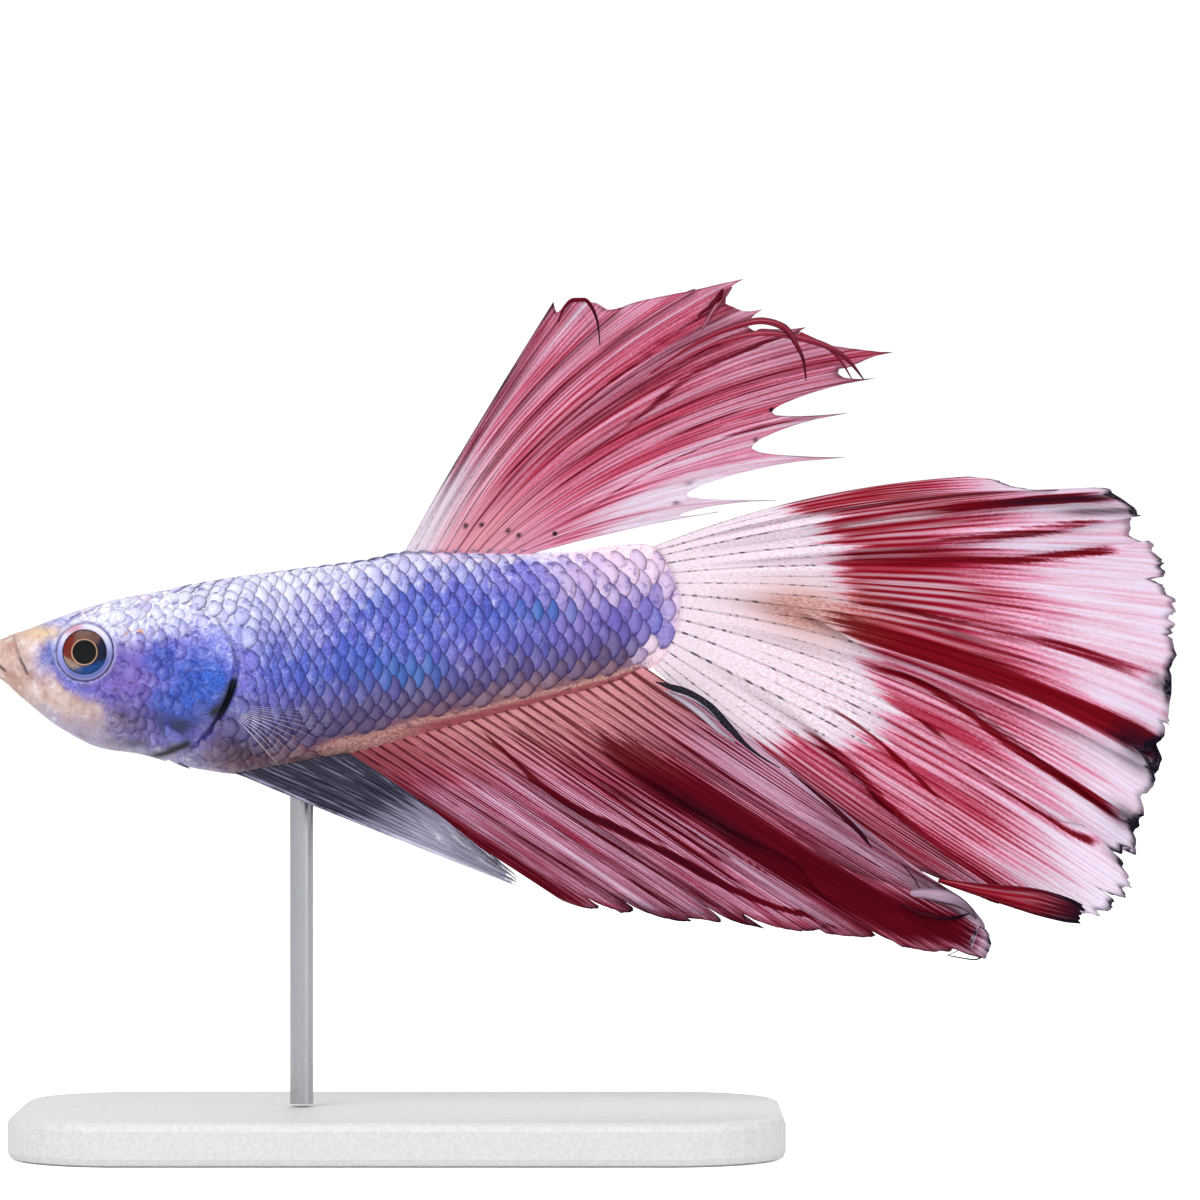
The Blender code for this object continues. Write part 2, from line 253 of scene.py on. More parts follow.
def slab_faces(rows: int, columns: int) -> List[Tuple[int, ...]]:
    """The faces of a closed slab: a grid of points, a second grid behind it, and their wall.

    Args:
        rows: How many rows of points each grid has.
        columns: How many points a row holds.

    Returns:
        The slab's faces as point numbers.
    """
    count = rows * columns
    faces: List[Tuple[int, ...]] = list(grid_faces(rows, columns, False))
    faces += [tuple(reversed(f)) for f in grid_faces(rows, columns, False, count)]
    border = list(range(columns)) + [r * columns + columns - 1 for r in range(1, rows)]
    border += [(rows - 1) * columns + c for c in range(columns - 2, -1, -1)]
    border += [r * columns for r in range(rows - 2, 0, -1)]
    faces += [(b, a, a + count, b + count) for a, b in zip(border, border[1:] + border[:1])]
    return faces


def face_outwards(piece: Piece) -> None:
    """Turns every face of a closed piece outwards.

    Args:
        piece: A closed piece.
    """
    work = bmesh.new()
    work.from_mesh(piece.data)
    work.normal_update()
    bmesh.ops.recalc_face_normals(work, faces=work.faces)
    work.to_mesh(piece.data)
    work.free()


def store(piece: Piece, name: str, values: Array) -> None:
    """Keeps one number, vector or colour for each point of a piece.

    Args:
        piece: The piece.
        name: The attribute's name.
        values: One number a point, or rows of three (a vector) or four (a colour).
    """
    kinds = {1: ("FLOAT", "value"), 3: ("FLOAT_VECTOR", "vector"), 4: ("FLOAT_COLOR", "color")}
    values = np.asarray(values, np.float32)
    kind, key = kinds[1 if values.ndim == 1 else values.shape[1]]
    made = piece.data.attributes.new(name, kind, "POINT")
    made.data.foreach_set(key, values.ravel())


def store_map(piece: Piece, name: str, values: Array) -> None:
    """Keeps a UV map given by one pair of numbers for each point of the piece.

    Args:
        piece: The piece.
        name: The map's name.
        values: One pair of numbers for each point.
    """
    corners = np.empty(len(piece.data.loops), np.int32)
    piece.data.loops.foreach_get("vertex_index", corners)
    layer = piece.data.uv_layers.new(name=name)
    layer.uv.foreach_set("vector", np.asarray(values, np.float32)[corners].ravel())


def as_plain_mesh(source: Piece, name: str) -> Piece:
    """Replaces an object and its modifiers by the plain mesh that they make.

    Args:
        source: The object with its modifiers.
        name: The finished piece's name.

    Returns:
        A new object at the origin. The source is removed.
    """
    bpy.context.view_layer.update()
    graph = bpy.context.evaluated_depsgraph_get()
    final = source.evaluated_get(graph)
    mesh = bpy.data.meshes.new_from_object(final, preserve_all_data_layers=True, depsgraph=graph)
    mesh.name = name
    bpy.data.objects.remove(source)
    made = bpy.data.objects.new(name, mesh)
    bpy.context.scene.collection.objects.link(made)
    return made


# ---- Node helpers ----


class Graph:
    """Adds nodes to a tree and links them, one short call each."""

    def __init__(self, tree: Tree) -> None:
        """Starts on an empty tree."""
        self.tree = tree
        tree.nodes.clear()

    def add(self, kind: str, **settings: object) -> Node:
        """Adds a node and sets its named settings.

        Args:
            kind: Blender's name for that kind of node.
            settings: Its properties by name.

        Returns:
            The node.
        """
        node = self.tree.nodes.new(kind)
        for key, value in settings.items():
            setattr(node, key, value)
        return node

    def put(self, socket: Socket, value: object) -> None:
        """Links a socket to another one, or sets it to a plain value.

        Args:
            socket: The input to fill.
            value: The socket to link it to, or a plain value.
        """
        if isinstance(value, Socket):
            self.tree.links.new(value, socket)
        else:
            socket.default_value = value

    def fill(self, node: Node, **values: object) -> Node:
        """Fills a node's named inputs, whose spaces are written here as underscores.

        Args:
            node: The node.
            values: What each of its inputs takes.

        Returns:
            The same node.
        """
        for key, value in values.items():
            self.put(node.inputs[key.replace("_", " ")], value)
        return node

    def maths(self, operation: str, *values: Value, clamp: bool = False) -> Socket:
        """The result of a Math node on the values.

        Args:
            operation: Blender's name for the sum.
            values: Its terms, in order.
            clamp: Whether the result is kept between 0 and 1.

        Returns:
            The result.
        """
        node = self.add("ShaderNodeMath", operation=operation, use_clamp=clamp)
        for socket, value in zip(node.inputs, values):
            self.put(socket, value)
        return node.outputs[0]

    def times(self, *values: Value) -> Socket:
        """The product of the values."""
        return reduce(lambda first, second: self.maths("MULTIPLY", first, second), values)

    def plus(self, first: Value, second: Value) -> Socket:
        """The sum of two values."""
        return self.maths("ADD", first, second)

    def rest(self, share: Value) -> Socket:
        """What a share leaves of 1."""
        return self.maths("SUBTRACT", 1.0, share)

    def centred(self, value: Socket) -> Socket:
        """How far a value lies above a half."""
        return self.maths("SUBTRACT", value, 0.5)

    def scaled(self, value: Value, factor: Value, extra: Value, clamp: bool = False) -> Socket:
        """The value times a factor, plus something extra."""
        return self.maths("MULTIPLY_ADD", value, factor, extra, clamp=clamp)

    def vector(self, operation: str, *values: object) -> Socket:
        """The result of a Vector Math node on the values.

        Args:
            operation: Blender's name for the sum.
            values: Its terms, in order.

        Returns:
            The result.
        """
        node = self.add("ShaderNodeVectorMath", operation=operation)
        for socket, value in zip(node.inputs, values):
            self.put(socket, value)
        return node.outputs[0]

    def stretched(self, vector: Socket, factor: Value) -> Socket:
        """A vector times a number."""
        node = self.vector("SCALE", vector).node
        return self.fill(node, Scale=factor).outputs[0]

    def mix(self, share: Value, first: object, second: object, blend: str = "MIX") -> Socket:
        """A colour between two colours, or one laid over the other.

        Args:
            share: How much of the second colour shows.
            first: The colour underneath.
            second: The colour over it.
            blend: Blender's name for the way they mix.

        Returns:
            The mixed colour.
        """
        node = self.add("ShaderNodeMix", data_type="RGBA", blend_type=blend, clamp_factor=True)
        for socket, value in zip((node.inputs[0], node.inputs[6], node.inputs[7]), (share, first, second)):
            self.put(socket, value)
        return node.outputs[2]

    def window(self, value: Socket, low: Value, high: Value, start: float = 0.0, end: float = 1.0) -> Socket:
        """The value taken smoothly from one range to another.

        Args:
            value: The value to read.
            low: Where its range starts.
            high: Where its range ends.
            start: What low becomes.
            end: What high becomes.

        Returns:
            The new value, which stays between start and end.
        """
        node = self.add("ShaderNodeMapRange", interpolation_type="SMOOTHSTEP")
        for socket, number in zip(node.inputs, (value, low, high, start, end)):
            self.put(socket, number)
        return node.outputs[0]

    def noise(
        self, size: float, detail: float = 2.0, at: Optional[Socket] = None, rough: float = 0.5
    ) -> Socket:
        """Noise whose lumps are about the size given, in the units of the place it is read at.

        Args:
            size: The size of a lump.
            detail: How many finer layers it has.
            at: Where it is read. Without this, at the place on the piece.
            rough: How strong the finer layers are.

        Returns:
            The noise, from 0 to 1.
        """
        node = self.add("ShaderNodeTexNoise")
        at = at if at is not None else self.place()
        return self.fill(node, Scale=1.0 / size, Detail=detail, Roughness=rough, Vector=at).outputs["Fac"]

    def cells(self, size: float, feature: str, output: str) -> Socket:
        """A reading of irregular cells of about the size given."""
        node = self.add("ShaderNodeTexVoronoi", feature=feature)
        return self.fill(node, Scale=1.0 / size, Vector=self.place()).outputs[output]

    def place(self) -> Socket:
        """The place on the piece in its object coordinates."""
        return self.add("ShaderNodeTexCoord").outputs["Object"]

    def kept(self, name: str, output: str = "Fac") -> Socket:
        """An attribute that the mesh keeps."""
        return self.add("ShaderNodeAttribute", attribute_name=name).outputs[output]

    def split(self, value: Socket, kind: str = "Color") -> Tuple[Socket, Socket, Socket]:
        """Takes a colour or a vector apart.

        Args:
            value: The colour or vector.
            kind: "Color" for the channels of a colour, "XYZ" for the numbers of a vector.

        Returns:
            The three parts.
        """
        node = self.add(f"ShaderNodeSeparate{kind}")
        self.put(node.inputs[0], value)
        return node.outputs[0], node.outputs[1], node.outputs[2]

    def use(self, group: Tree, **inputs: object) -> Node:
        """Places a group and fills its inputs."""
        return self.fill(self.add("ShaderNodeGroup", node_tree=group), **inputs)

    def bump(self, height: Socket, rise: float) -> Socket:
        """The normal of a relief whose full height is the rise, in metres."""
        return self.fill(self.add("ShaderNodeBump"), Distance=rise, Height=height).outputs[0]


def add_sockets(tree: Tree, way: str, sockets: Dict[str, str]) -> None:
    """Gives a tree its named inputs or outputs, each with its kind, such as "Float" or "Color"."""
    for label, kind in sockets.items():
        tree.interface.new_socket(name=label, in_out=way, socket_type=f"NodeSocket{kind}")


def new_group(name: str, inputs: Dict[str, str], outputs: Dict[str, str]) -> Tuple[Graph, Node, Node]:
    """Makes a shader node group with named sockets.

    Args:
        name: The group's name.
        inputs: Each input's name and kind, such as "Float" or "Color".
        outputs: The same for the outputs.

    Returns:
        The group's graph, its input node and its output node.
    """
    tree = bpy.data.node_groups.new(name, "ShaderNodeTree")
    add_sockets(tree, "INPUT", inputs)
    add_sockets(tree, "OUTPUT", outputs)
    graph = Graph(tree)
    return graph, graph.add("NodeGroupInput"), graph.add("NodeGroupOutput")


def new_material(name: str) -> Tuple[Material, Graph, Node]:
    """Makes a material with one Principled shader.

    Args:
        name: The material's name.

    Returns:
        The material, its graph and its shader.
    """
    made = bpy.data.materials.new(name)
    made.use_nodes = True
    graph = Graph(made.node_tree)
    shader = graph.add("ShaderNodeBsdfPrincipled")
    output = graph.add("ShaderNodeOutputMaterial")
    graph.fill(output, Surface=shader.outputs[0])
    return made, graph, shader


# ---- The form of the body ----


@dataclass(frozen=True)
class BodyForm:
    """The smooth body: an oval section that changes along a gently curved spine."""

    # Place, back, belly, half width, height of the widest level.
    stations: Rows = (
        (0.0, 0.42, -0.52, 0.66, -0.02), (0.6, 0.68, -0.95, 0.98, -0.05),
        (1.5, 0.97, -1.46, 1.3, -0.1), (2.7, 1.4, -2.5, 1.7, -0.15),
        (5.1, 2.3, -4.4, 2.3, -0.15), (7.5, 3.1, -5.6, 2.8, -0.3),
        (9.9, 3.7, -6.05, 3.2, -0.5), (13.5, 4.45, -7.05, 3.6, -0.8),
        (16.0, 4.85, -7.35, 3.65, -0.8), (19.6, 5.3, -6.65, 3.45, -0.4),
        (23.5, 5.8, -5.75, 3.2, 0.1), (26.0, 6.25, -5.1, 3.0, 0.5),
        (30.4, 6.3, -4.0, 2.55, 1.1), (35.0, 6.35, -2.8, 1.95, 1.9),
        (38.5, 6.75, -1.85, 1.4, 2.5), (40.0, 6.85, -1.1, 1.05, 2.8),
        (41.3, 6.6, -0.9, 0.55, 2.9), (43.6, 6.7, -0.95, 0.1, 2.9),
    )
    # Place, ridge of the back, ridge of the belly: 1 is an ellipse and less is broader.
    ridges: Rows = (
        (0.0, 0.9, 0.9), (7.0, 0.8, 1.0), (14.0, 0.95, 1.0), (22.0, 1.1, 1.2),
        (30.0, 1.2, 1.45), (41.3, 1.25, 1.35),
    )
    gill_x: float = 13.1
    end_x: float = 41.3
    bend_start: float = 18.0
    bend_length: float = 25.0
    tail_round: float = 1.6

    def back(self, x: Number) -> Array:
        """The height of the back."""
        return smooth_curve(self.stations, x, 1)

    def belly(self, x: Number) -> Array:
        """The height of the belly."""
        return smooth_curve(self.stations, x, 2)

    def spine(self, x: Number) -> Array:
        """How far the body's middle plane bends to the right."""
        past = np.asarray(x) - self.bend_start
        return np.where(past > 0, (past / self.bend_length) ** 2, 0.0)

    def level(self, x: Number, z: Number) -> Array:
        """How high a place of the side view lies, from 0 at the belly to 1 at the back."""
        belly = self.belly(x)
        return (z - belly) / (self.back(x) - belly)

    def shift(self, x: Array, turn: Array) -> Array:
        """How far a ring leans back at a turn, to follow the gill opening and the rounded tail root.

        Args:
            x: The ring's place along the body.
            turn: The turn about the body, in radians.

        Returns:
            The lean, in millimetres.
        """
        at_gill = bell(x - self.gill_x, 4.0)
        gill = 2.8 * np.sin(turn) ** 2 - 1.7 * ((1 - np.cos(turn)) / 2) ** 3
        at_tail = unit((x - 36.0) / (self.end_x - 36.0)) ** 2
        return at_gill * gill + at_tail * self.tail_round * np.sin(turn) ** 2

    def point(self, x: Array, turn: Array) -> Array:
        """Points of the surface. A turn of 0 is the back and a quarter turn the left flank.

        Args:
            x: The ring's place along the body.
            turn: The turn about the body, in radians.

        Returns:
            An array of points.
        """
        x = x + self.shift(x, turn)
        back, belly = self.back(x), self.belly(x)
        half_width, widest = smooth_curve(self.stations, x, 3), smooth_curve(self.stations, x, 4)
        upper = np.cos(turn) >= 0
        ridge = np.where(upper, smooth_curve(self.ridges, x, 1), smooth_curve(self.ridges, x, 2))
        side = np.sign(np.sin(turn)) * np.abs(np.sin(turn)) ** ridge
        height = widest + np.cos(turn) * np.where(upper, back - widest, widest - belly)
        return np.stack((x, self.spine(x) - half_width * side, height), -1)

    def frame_at(self, x: Array, turn: Array) -> Tuple[Array, Array, Array, Array]:
        """The surface's own directions.

        Args:
            x: The ring's place along the body.
            turn: The turn about the body, in radians.

        Returns:
            The point, the direction backwards, the direction down the left side, and outwards.
        """
        small = 1e-3
        here = self.point(x, turn)
        along = self.point(x + small, turn) - self.point(x - small, turn)
        around = self.point(x, turn + small) - self.point(x, turn - small)
        along /= np.linalg.norm(along, axis=-1, keepdims=True) + 1e-12
        out = np.cross(around, along)
        out /= np.linalg.norm(out, axis=-1, keepdims=True) + 1e-12
        return here, along, np.cross(along, out), out


BODY = BodyForm()


@dataclass(frozen=True)
class Relief:
    """What stands out of the smooth body or sinks into it, in millimetres outwards."""

    eye: Tuple[float, float] = (EYE_X, EYE_ABOVE_SNOUT)
    socket_radius: float = 1.66
    rim_radius: float = 1.9
    nostril: Tuple[float, float] = (3.9, 1.14)
    mouth: Pairs = ((-0.5, 0.0), (0.5, -0.05), (1.3, -0.42), (1.9, -0.95))
    jaw_crease: Pairs = ((2.35, 1.15), (2.6, 0.4), (2.95, -0.4), (3.3, -1.15))
    cheek_ridge: Pairs = ((8.6, 2.3), (9.7, 0.6), (9.9, -1.6), (9.2, -3.6), (7.6, -4.7))
    scale_bed: float = 0.16
    rib_pitch: float = 0.75

    def height(self, ring: Array, turn: Array, point: Array) -> Array:
        """The relief at points of the skin.

        Args:
            ring: Each point's ring, as its place along the body before the rings lean.
            turn: Each point's turn about the body.
            point: The points of the smooth body.

        Returns:
            How far each point is lifted.
        """
        x, z = point[..., 0], point[..., 2]
        lift = -self.scale_bed * ease(7.0, 13.0, x) - 0.03
        lift += self.around_eye(x, z) + self.face(x, z) + self.gill(ring, turn)
        fleshy = ease(20.5, 22.0, x) * fade(39.5, 41.0, x)
        strip = bell(np.abs(np.abs(turn) - math.pi), 0.3)
        return lift + fleshy * strip * (0.16 + 0.05 * np.sin(x * 2 * math.pi / self.rib_pitch))

    def from_eye(self, x: Array, z: Array) -> Array:
        """How far each place of the side view lies from the eye's middle."""
        return np.hypot(x - self.eye[0], z - self.eye[1])

    def around_eye(self, x: Array, z: Array) -> Array:
        """The socket under the eyeball and the soft rim round it.

        Args:
            x: Places behind the snout.
            z: Heights above the snout.

        Returns:
            How far each place is lifted.
        """
        far = self.from_eye(x, z)
        socket = -1.1 * fade(self.socket_radius - 0.12, self.socket_radius + 0.1, far)
        rim = 0.13 * bell(far - self.rim_radius, 0.16)
        return socket + rim - 0.06 * bell(far - self.rim_radius - 0.36, 0.14)

    def face(self, x: Array, z: Array) -> Array:
        """Lips, the creases of the upper jaw, the nostrils and the cheek's ridge.

        Args:
            x: Places behind the snout.
            z: Heights above the snout.

        Returns:
            How far each place is lifted.
        """
        slit = line_distance(x, z, self.mouth)
        lips = 0.1 * bell(slit - 0.22, 0.16) - 0.22 * bell(slit, 0.07)
        crease = -0.12 * bell(line_distance(x, z, self.jaw_crease), 0.08)
        crease -= 0.05 * bell(line_distance(x - 0.32, z, self.jaw_crease), 0.07)
        fold = 0.05 * bell(line_distance(x, z, self.jaw_crease) - 0.22, 0.14)
        hole = np.hypot(x - self.nostril[0], (z - self.nostril[1]) * 1.15)
        nostril = 0.07 * bell(hole - 0.22, 0.08) - 0.13 * bell(hole, 0.12)
        ridge = 0.06 * bell(line_distance(x, z, self.cheek_ridge), 0.3)
        return lips * fade(2.0, 2.4, x) + crease + fold + nostril + ridge

    def gill(self, ring: Array, turn: Array) -> Array:
        """The raised rear edge of the gill cover and the opening behind it.

        Args:
            ring: Each point's ring, as its place along the body before the rings lean.
            turn: Each point's turn about the body.

        Returns:
            How far each point is lifted.
        """
        low = np.abs(turn)
        flank = ease(0.8, 1.25, low) * (1 - 0.6 * ease(2.75, 3.1, low))
        behind = ring - BODY.gill_x
        cover = 0.2 * np.exp(np.minimum(behind, 0.0) / 0.9) * (behind <= 0)
        opening = 0.42 * bell(behind - 0.16, 0.2) * (behind > -0.2)
        return flank * (cover - opening * ease(1.3, 1.6, low) * (1 - 0.6 * ease(2.2, 2.6, low)))


RELIEF = Relief()


@dataclass(frozen=True)
class Zones:
    """Where the fish's colours and its painted shade lie, as shares from 0 to 1 that both the skin and the
    scales keep.
    """

    # Deep blue patches: place, height, reach along, reach up, strength.
    blue_patches: Rows = (
        (13.9, -1.9, 1.9, 2.3, 1.0), (12.2, -3.2, 1.9, 1.6, 0.9), (11.4, -0.4, 1.3, 1.1, 0.6),
        (9.2, 3.0, 1.0, 0.5, 0.35), (4.5, 0.1, 0.65, 1.0, 0.8), (17.6, 1.2, 1.6, 1.3, 0.45),
        (20.5, -1.0, 3.0, 1.6, 0.5), (25.3, 2.9, 2.4, 1.1, 0.7), (23.5, -0.3, 3.0, 1.2, 0.75),
        (31.0, 2.3, 2.8, 1.1, 0.55), (33.5, 0.6, 2.0, 0.9, 0.4), (27.5, 0.9, 2.5, 1.0, 0.35),
        (40.9, 1.9, 0.9, 1.0, 0.25), (32.7, -2.0, 0.5, 0.3, 0.6),
    )

    # Dark spots: place, height, reach along, reach up, strength. The three long smears at 6.8, 7.4 and 9.9
    # below the cheek are painted shade.
    marks: Rows = (
        (8.6, -2.0, 0.11, 0.11, 0.8), (9.0, -3.6, 0.2, 0.2, 0.8), (8.3, -3.9, 0.14, 0.14, 0.8),
        (10.0, -3.3, 0.12, 0.12, 0.7), (11.9, -4.6, 0.3, 0.3, 0.8), (10.3, 3.1, 0.12, 0.12, 0.8),
        (12.5, -4.2, 1.7, 0.85, 0.85), (16.2, -3.4, 0.35, 0.85, 0.5), (16.2, -5.8, 2.0, 1.0, 0.52),
        (6.8, -2.9, 1.5, 0.6, 0.18), (7.4, -4.3, 1.8, 0.6, 0.22), (9.9, -5.2, 2.3, 0.45, 0.5),
    )
    jaw_line: Pairs = (
        (0.0, 3.0), (2.6, 2.2), (4.0, 1.9), (4.9, -0.9), (6.2, -2.2), (8.6, -3.4), (11.0, -5.0),
        (13.0, -7.2),
    )
    pale_from: Pairs = (
        (0, 0.5), (7, 0.64), (9, 0.72), (14, 0.75), (20, 0.78), (27, 0.87), (34, 0.92), (44, 0.92),
    )
    # Rosy spots: place, height, reach.
    rose_spots: Rows = (
        (6.7, 2.75, 0.55), (10.2, 3.45, 0.45), (30.5, 6.3, 0.8), (28.0, 5.9, 0.6),
    )
    # Ovals: place, height, reach along, reach up, and for the teal ones how ragged.
    violet_cheek: Tuple[float, ...] = (9.4, -1.2, 2.8, 2.8)
    dusky_cheek: Tuple[float, ...] = (9.8, -3.9, 2.0, 1.1)
    gap_in_peach: Tuple[float, ...] = (4.45, -0.25, 0.75, 0.95)
    gold_spot: Tuple[float, ...] = (4.3, 1.35, 1.3, 0.5)
    teal_spots: Rows = ((25.5, -1.0, 3.0, 0.9, 0.5), (34.2, 2.6, 1.6, 0.8, 0.4))
    # Inked lines of the side view, by place and height.
    mouth_corner: Pairs = ((2.8, -0.2), (3.05, -0.6), (3.3, -1.15))
    gill_slit: Pairs = ((15.65, -1.7), (15.4, -2.5), (15.0, -3.1), (14.5, -3.4))
    membrane: Pairs = ((12.9, -5.3), (11.6, -5.85), (10.4, -6.15), (9.7, -6.3))
    cover_edge: Pairs = ((13.4, 3.4), (14.6, 2.3), (15.5, 0.9), (15.9, -0.6))

    def masks(self, x: Array, z: Array) -> Dict[str, Array]:
        """The share of each colour at places of the side view.

        Args:
            x: Places behind the snout.
            z: Heights above the snout.

        Returns:
            The shares, under the names of the colours.
        """
        up = BODY.level(x, z)
        wave = 0.35 * ripple(x / 5.0, 0.3) + 0.25 * ripple(z / 2.2, 1.7)

        pale_from = smooth_curve(self.pale_from, x, 1)
        pale = ease(pale_from - 0.1, pale_from + 0.16, up + 0.06 * wave) * ease(3.5, 7.5, x)
        pale = np.maximum(pale, 0.5 * bell(x - 18.0, 3.0) * ease(0.5, 0.78, up))
        rose = ease(33.0, 38.5, x + 2.2 * (up - 0.7) + wave) * ease(0.45, 0.85, up + 0.05 * wave)
        rose = np.maximum(rose, 0.6 * bell(x - 30.0, 4.0) * ease(0.93, 1.0, up))
        for px, pz, reach in self.rose_spots:
            rose = np.maximum(rose, 0.7 * bell(np.hypot(x - px, (z - pz) * 1.8), reach))
        rose = np.maximum(rose, ease(40.9, 42.6, x + 0.5 * wave))
        rear_corner = ease(39.2, 40.6, x) * fade(0.16, 0.34, up + 0.05 * wave)
        rose = np.maximum(rose, rear_corner)

        blue = np.zeros_like(x)
        for patch in self.blue_patches:
            blue = np.maximum(blue, patch[4] * fade(0.55, 1.35, oval(x, z, patch) + 0.35 * wave))
        rear = 0.85 * ease(25, 37, x) * fade(0.6, 0.95, up) * (1 - rear_corner)
        violet = np.maximum(bell(oval(x, z, self.violet_cheek)), rear)
        dusk = fade(0.18, 0.5, up + 0.05 * wave) * ease(12.5, 15.0, x)
        dusk = np.maximum(dusk, 0.9 * bell(oval(x, z, self.dusky_cheek))) * fade(38.5, 41.0, x)

        tan_top = 0.16 + 0.14 * ease(22.0, 34.0, x)
        tan = fade(0.05, tan_top, up + 0.05 * wave) * ease(14.0, 20.0, x)
        tan = np.maximum(tan, 0.55 * fade(0.0, 0.1, up) * ease(12.0, 14.0, x))
        breast_part = 0.75 * fade(0.06, 0.24, up + 0.06 * wave) * ease(13.2, 14.4, x)
        tan = np.maximum(tan, breast_part * fade(18.5, 21.0, x))
        tan = tan * (1 - 0.95 * ease(38.0, 40.6, x))
        strip = fade(0.07, 0.115, up + 0.02 * wave) * ease(19.5, 22.0, x)
        strip = strip * fade(40.5, 41.6, x) * fade(39.0, 40.6, x)
        strip = strip * (1 - 0.3 * np.maximum(ease(0.045, 0.09, up), 1 - ease(23.0, 29.0, x)))

        peach = 1 - ease(-0.55, 0.45, z - smooth_curve(self.jaw_line, x, 1) + 0.5 * wave)
        gap = 1 - 0.85 * bell(oval(x, z, self.gap_in_peach))
        peach *= (1 - 0.85 * ease(7.0, 8.8, x + 0.4 * wave)) * gap
        chin_top = 0.25 - 0.07 * ease(7.5, 10.5, x)
        chin = fade(chin_top - 0.2, chin_top, up + 0.12 * wave) * ease(2.5, 5.0, x)
        teal = np.zeros_like(x)
        for spot in self.teal_spots:
            teal = np.maximum(teal, 0.8 * fade(0.5, 1.2, oval(x, z, spot) + spot[4] * wave))
        return {
            "pale": pale,
            "rose": rose,
            "blue": blue,
            "violet": violet,
            "dusk": dusk,
            "tan": tan,
            "strip": strip,
            "peach": peach,
            "ink": self.ink(x, z),
            "chin": chin * fade(14.0, 16.0, x),
            "gold": bell(oval(x, z, self.gold_spot)),
            "teal": teal,
        }

    def ink(self, x: Array, z: Array) -> Array:
        """The dark spots and the black gill membrane, and painted shade in the mouth's slit, the jaw's
        creases, the gill opening, along the gill cover's edge and under the eye's rim.

        Args:
            x: Places behind the snout.
            z: Heights above the snout.

        Returns:
            The share at each place, from 0 to 1.
        """
        # Painted shade in the mouth's slit and in the jaw's creases.
        slit = bell(line_distance(x, z, RELIEF.mouth), 0.1) * fade(1.8, 2.2, x) * 0.7
        crease = 0.55 * bell(line_distance(x, z, self.mouth_corner), 0.09)
        crease += 0.4 * bell(line_distance(x, z, RELIEF.jaw_crease), 0.07)
        crease += 0.25 * bell(line_distance(x - 0.32, z, RELIEF.jaw_crease), 0.06)
        # Painted shade in the gill opening and along the gill cover's edge; the membrane's black is its own.
        gill = sum(
            strength * bell(line_distance(x, z, line), width)
            for strength, line, width in (
                (1.0, self.gill_slit, 0.32), (1.0, self.membrane, 0.26), (0.45, self.cover_edge, 0.1),
            )
        )
        marks = np.zeros_like(x)
        for mark in self.marks:
            marks = np.maximum(marks, mark[4] * bell(oval(x, z, mark)))
        # Painted shade under the eye's raised rim, on its lower half only.
        far = RELIEF.from_eye(x, z)
        rings = 0.5 * bell(far - 1.86, 0.035) + 0.3 * bell(far - 2.03, 0.03)
        rings = rings * ease(-0.2, 0.6, RELIEF.eye[1] - z)
        return unit(slit + crease + gill + marks + rings)

    def keep_on(self, piece: Piece, x: Array, z: Array, extra: Optional[Array] = None) -> None:
        """Stores the shares on a piece, three to an attribute.

        Args:
            piece: The piece.
            x: Its points' places behind the snout.
            z: Their heights above the snout.
            extra: More ink, such as the painted shade in the gill opening's fold.
        """
        share = self.masks(x, z)
        if extra is not None:
            share["ink"] = unit(share["ink"] + extra)
        for name, keys in TINTS.items():
            columns = [share[key] for key in keys] + [np.ones_like(x)]
            store(piece, name, np.stack(columns, -1))


TINTS = {
    "tint_high": ("pale", "rose", "blue"),
    "tint_low": ("violet", "dusk", "tan"),
    "tint_face": ("strip", "peach", "ink"),
    "tint_skin": ("chin", "gold", "teal"),
}
ZONES = Zones()


# ---- Finishes ----


@dataclass(frozen=True)
class Palette:
    """The body's colours."""

    periwinkle: Colour = rgb("6266cc")
    periwinkle_light: Colour = rgb("a0a8f6")
    blue: Colour = rgb("3264d6")
    blue_deep: Colour = rgb("1f46a6")
    pale: Colour = rgb("f0f0fe")
    rose: Colour = rgb("fadbe8")
    violet: Colour = rgb("7c62ba")
    dusk: Colour = rgb("5a4676")
    tan: Colour = rgb("946468")
    strip: Colour = rgb("a86e6a")
    strip_light: Colour = rgb("cc9e98")
    strip_low: Colour = rgb("a04c56")
    peach: Colour = rgb("ecd8d4")
    peach_deep: Colour = rgb("bc9486")
    chin: Colour = rgb("b4a8c2")
    chin_dark: Colour = rgb("746c92")
    gold: Colour = rgb("e4c6a4")
    teal: Colour = rgb("2f6fc0")
    # Dark spots, the black membrane, and painted shade in slits, creases and openings.
    ink: Colour = rgb("14131f")
    lilac_patch: Colour = rgb("8a78dc")
    blue_patch: Colour = rgb("4a66d8")
    # Painted highlights and painted shade of the small mottle on skin and scales.
    glow: Colour = rgb("8fa2f2")
    shadow: Colour = rgb("8c88c4")


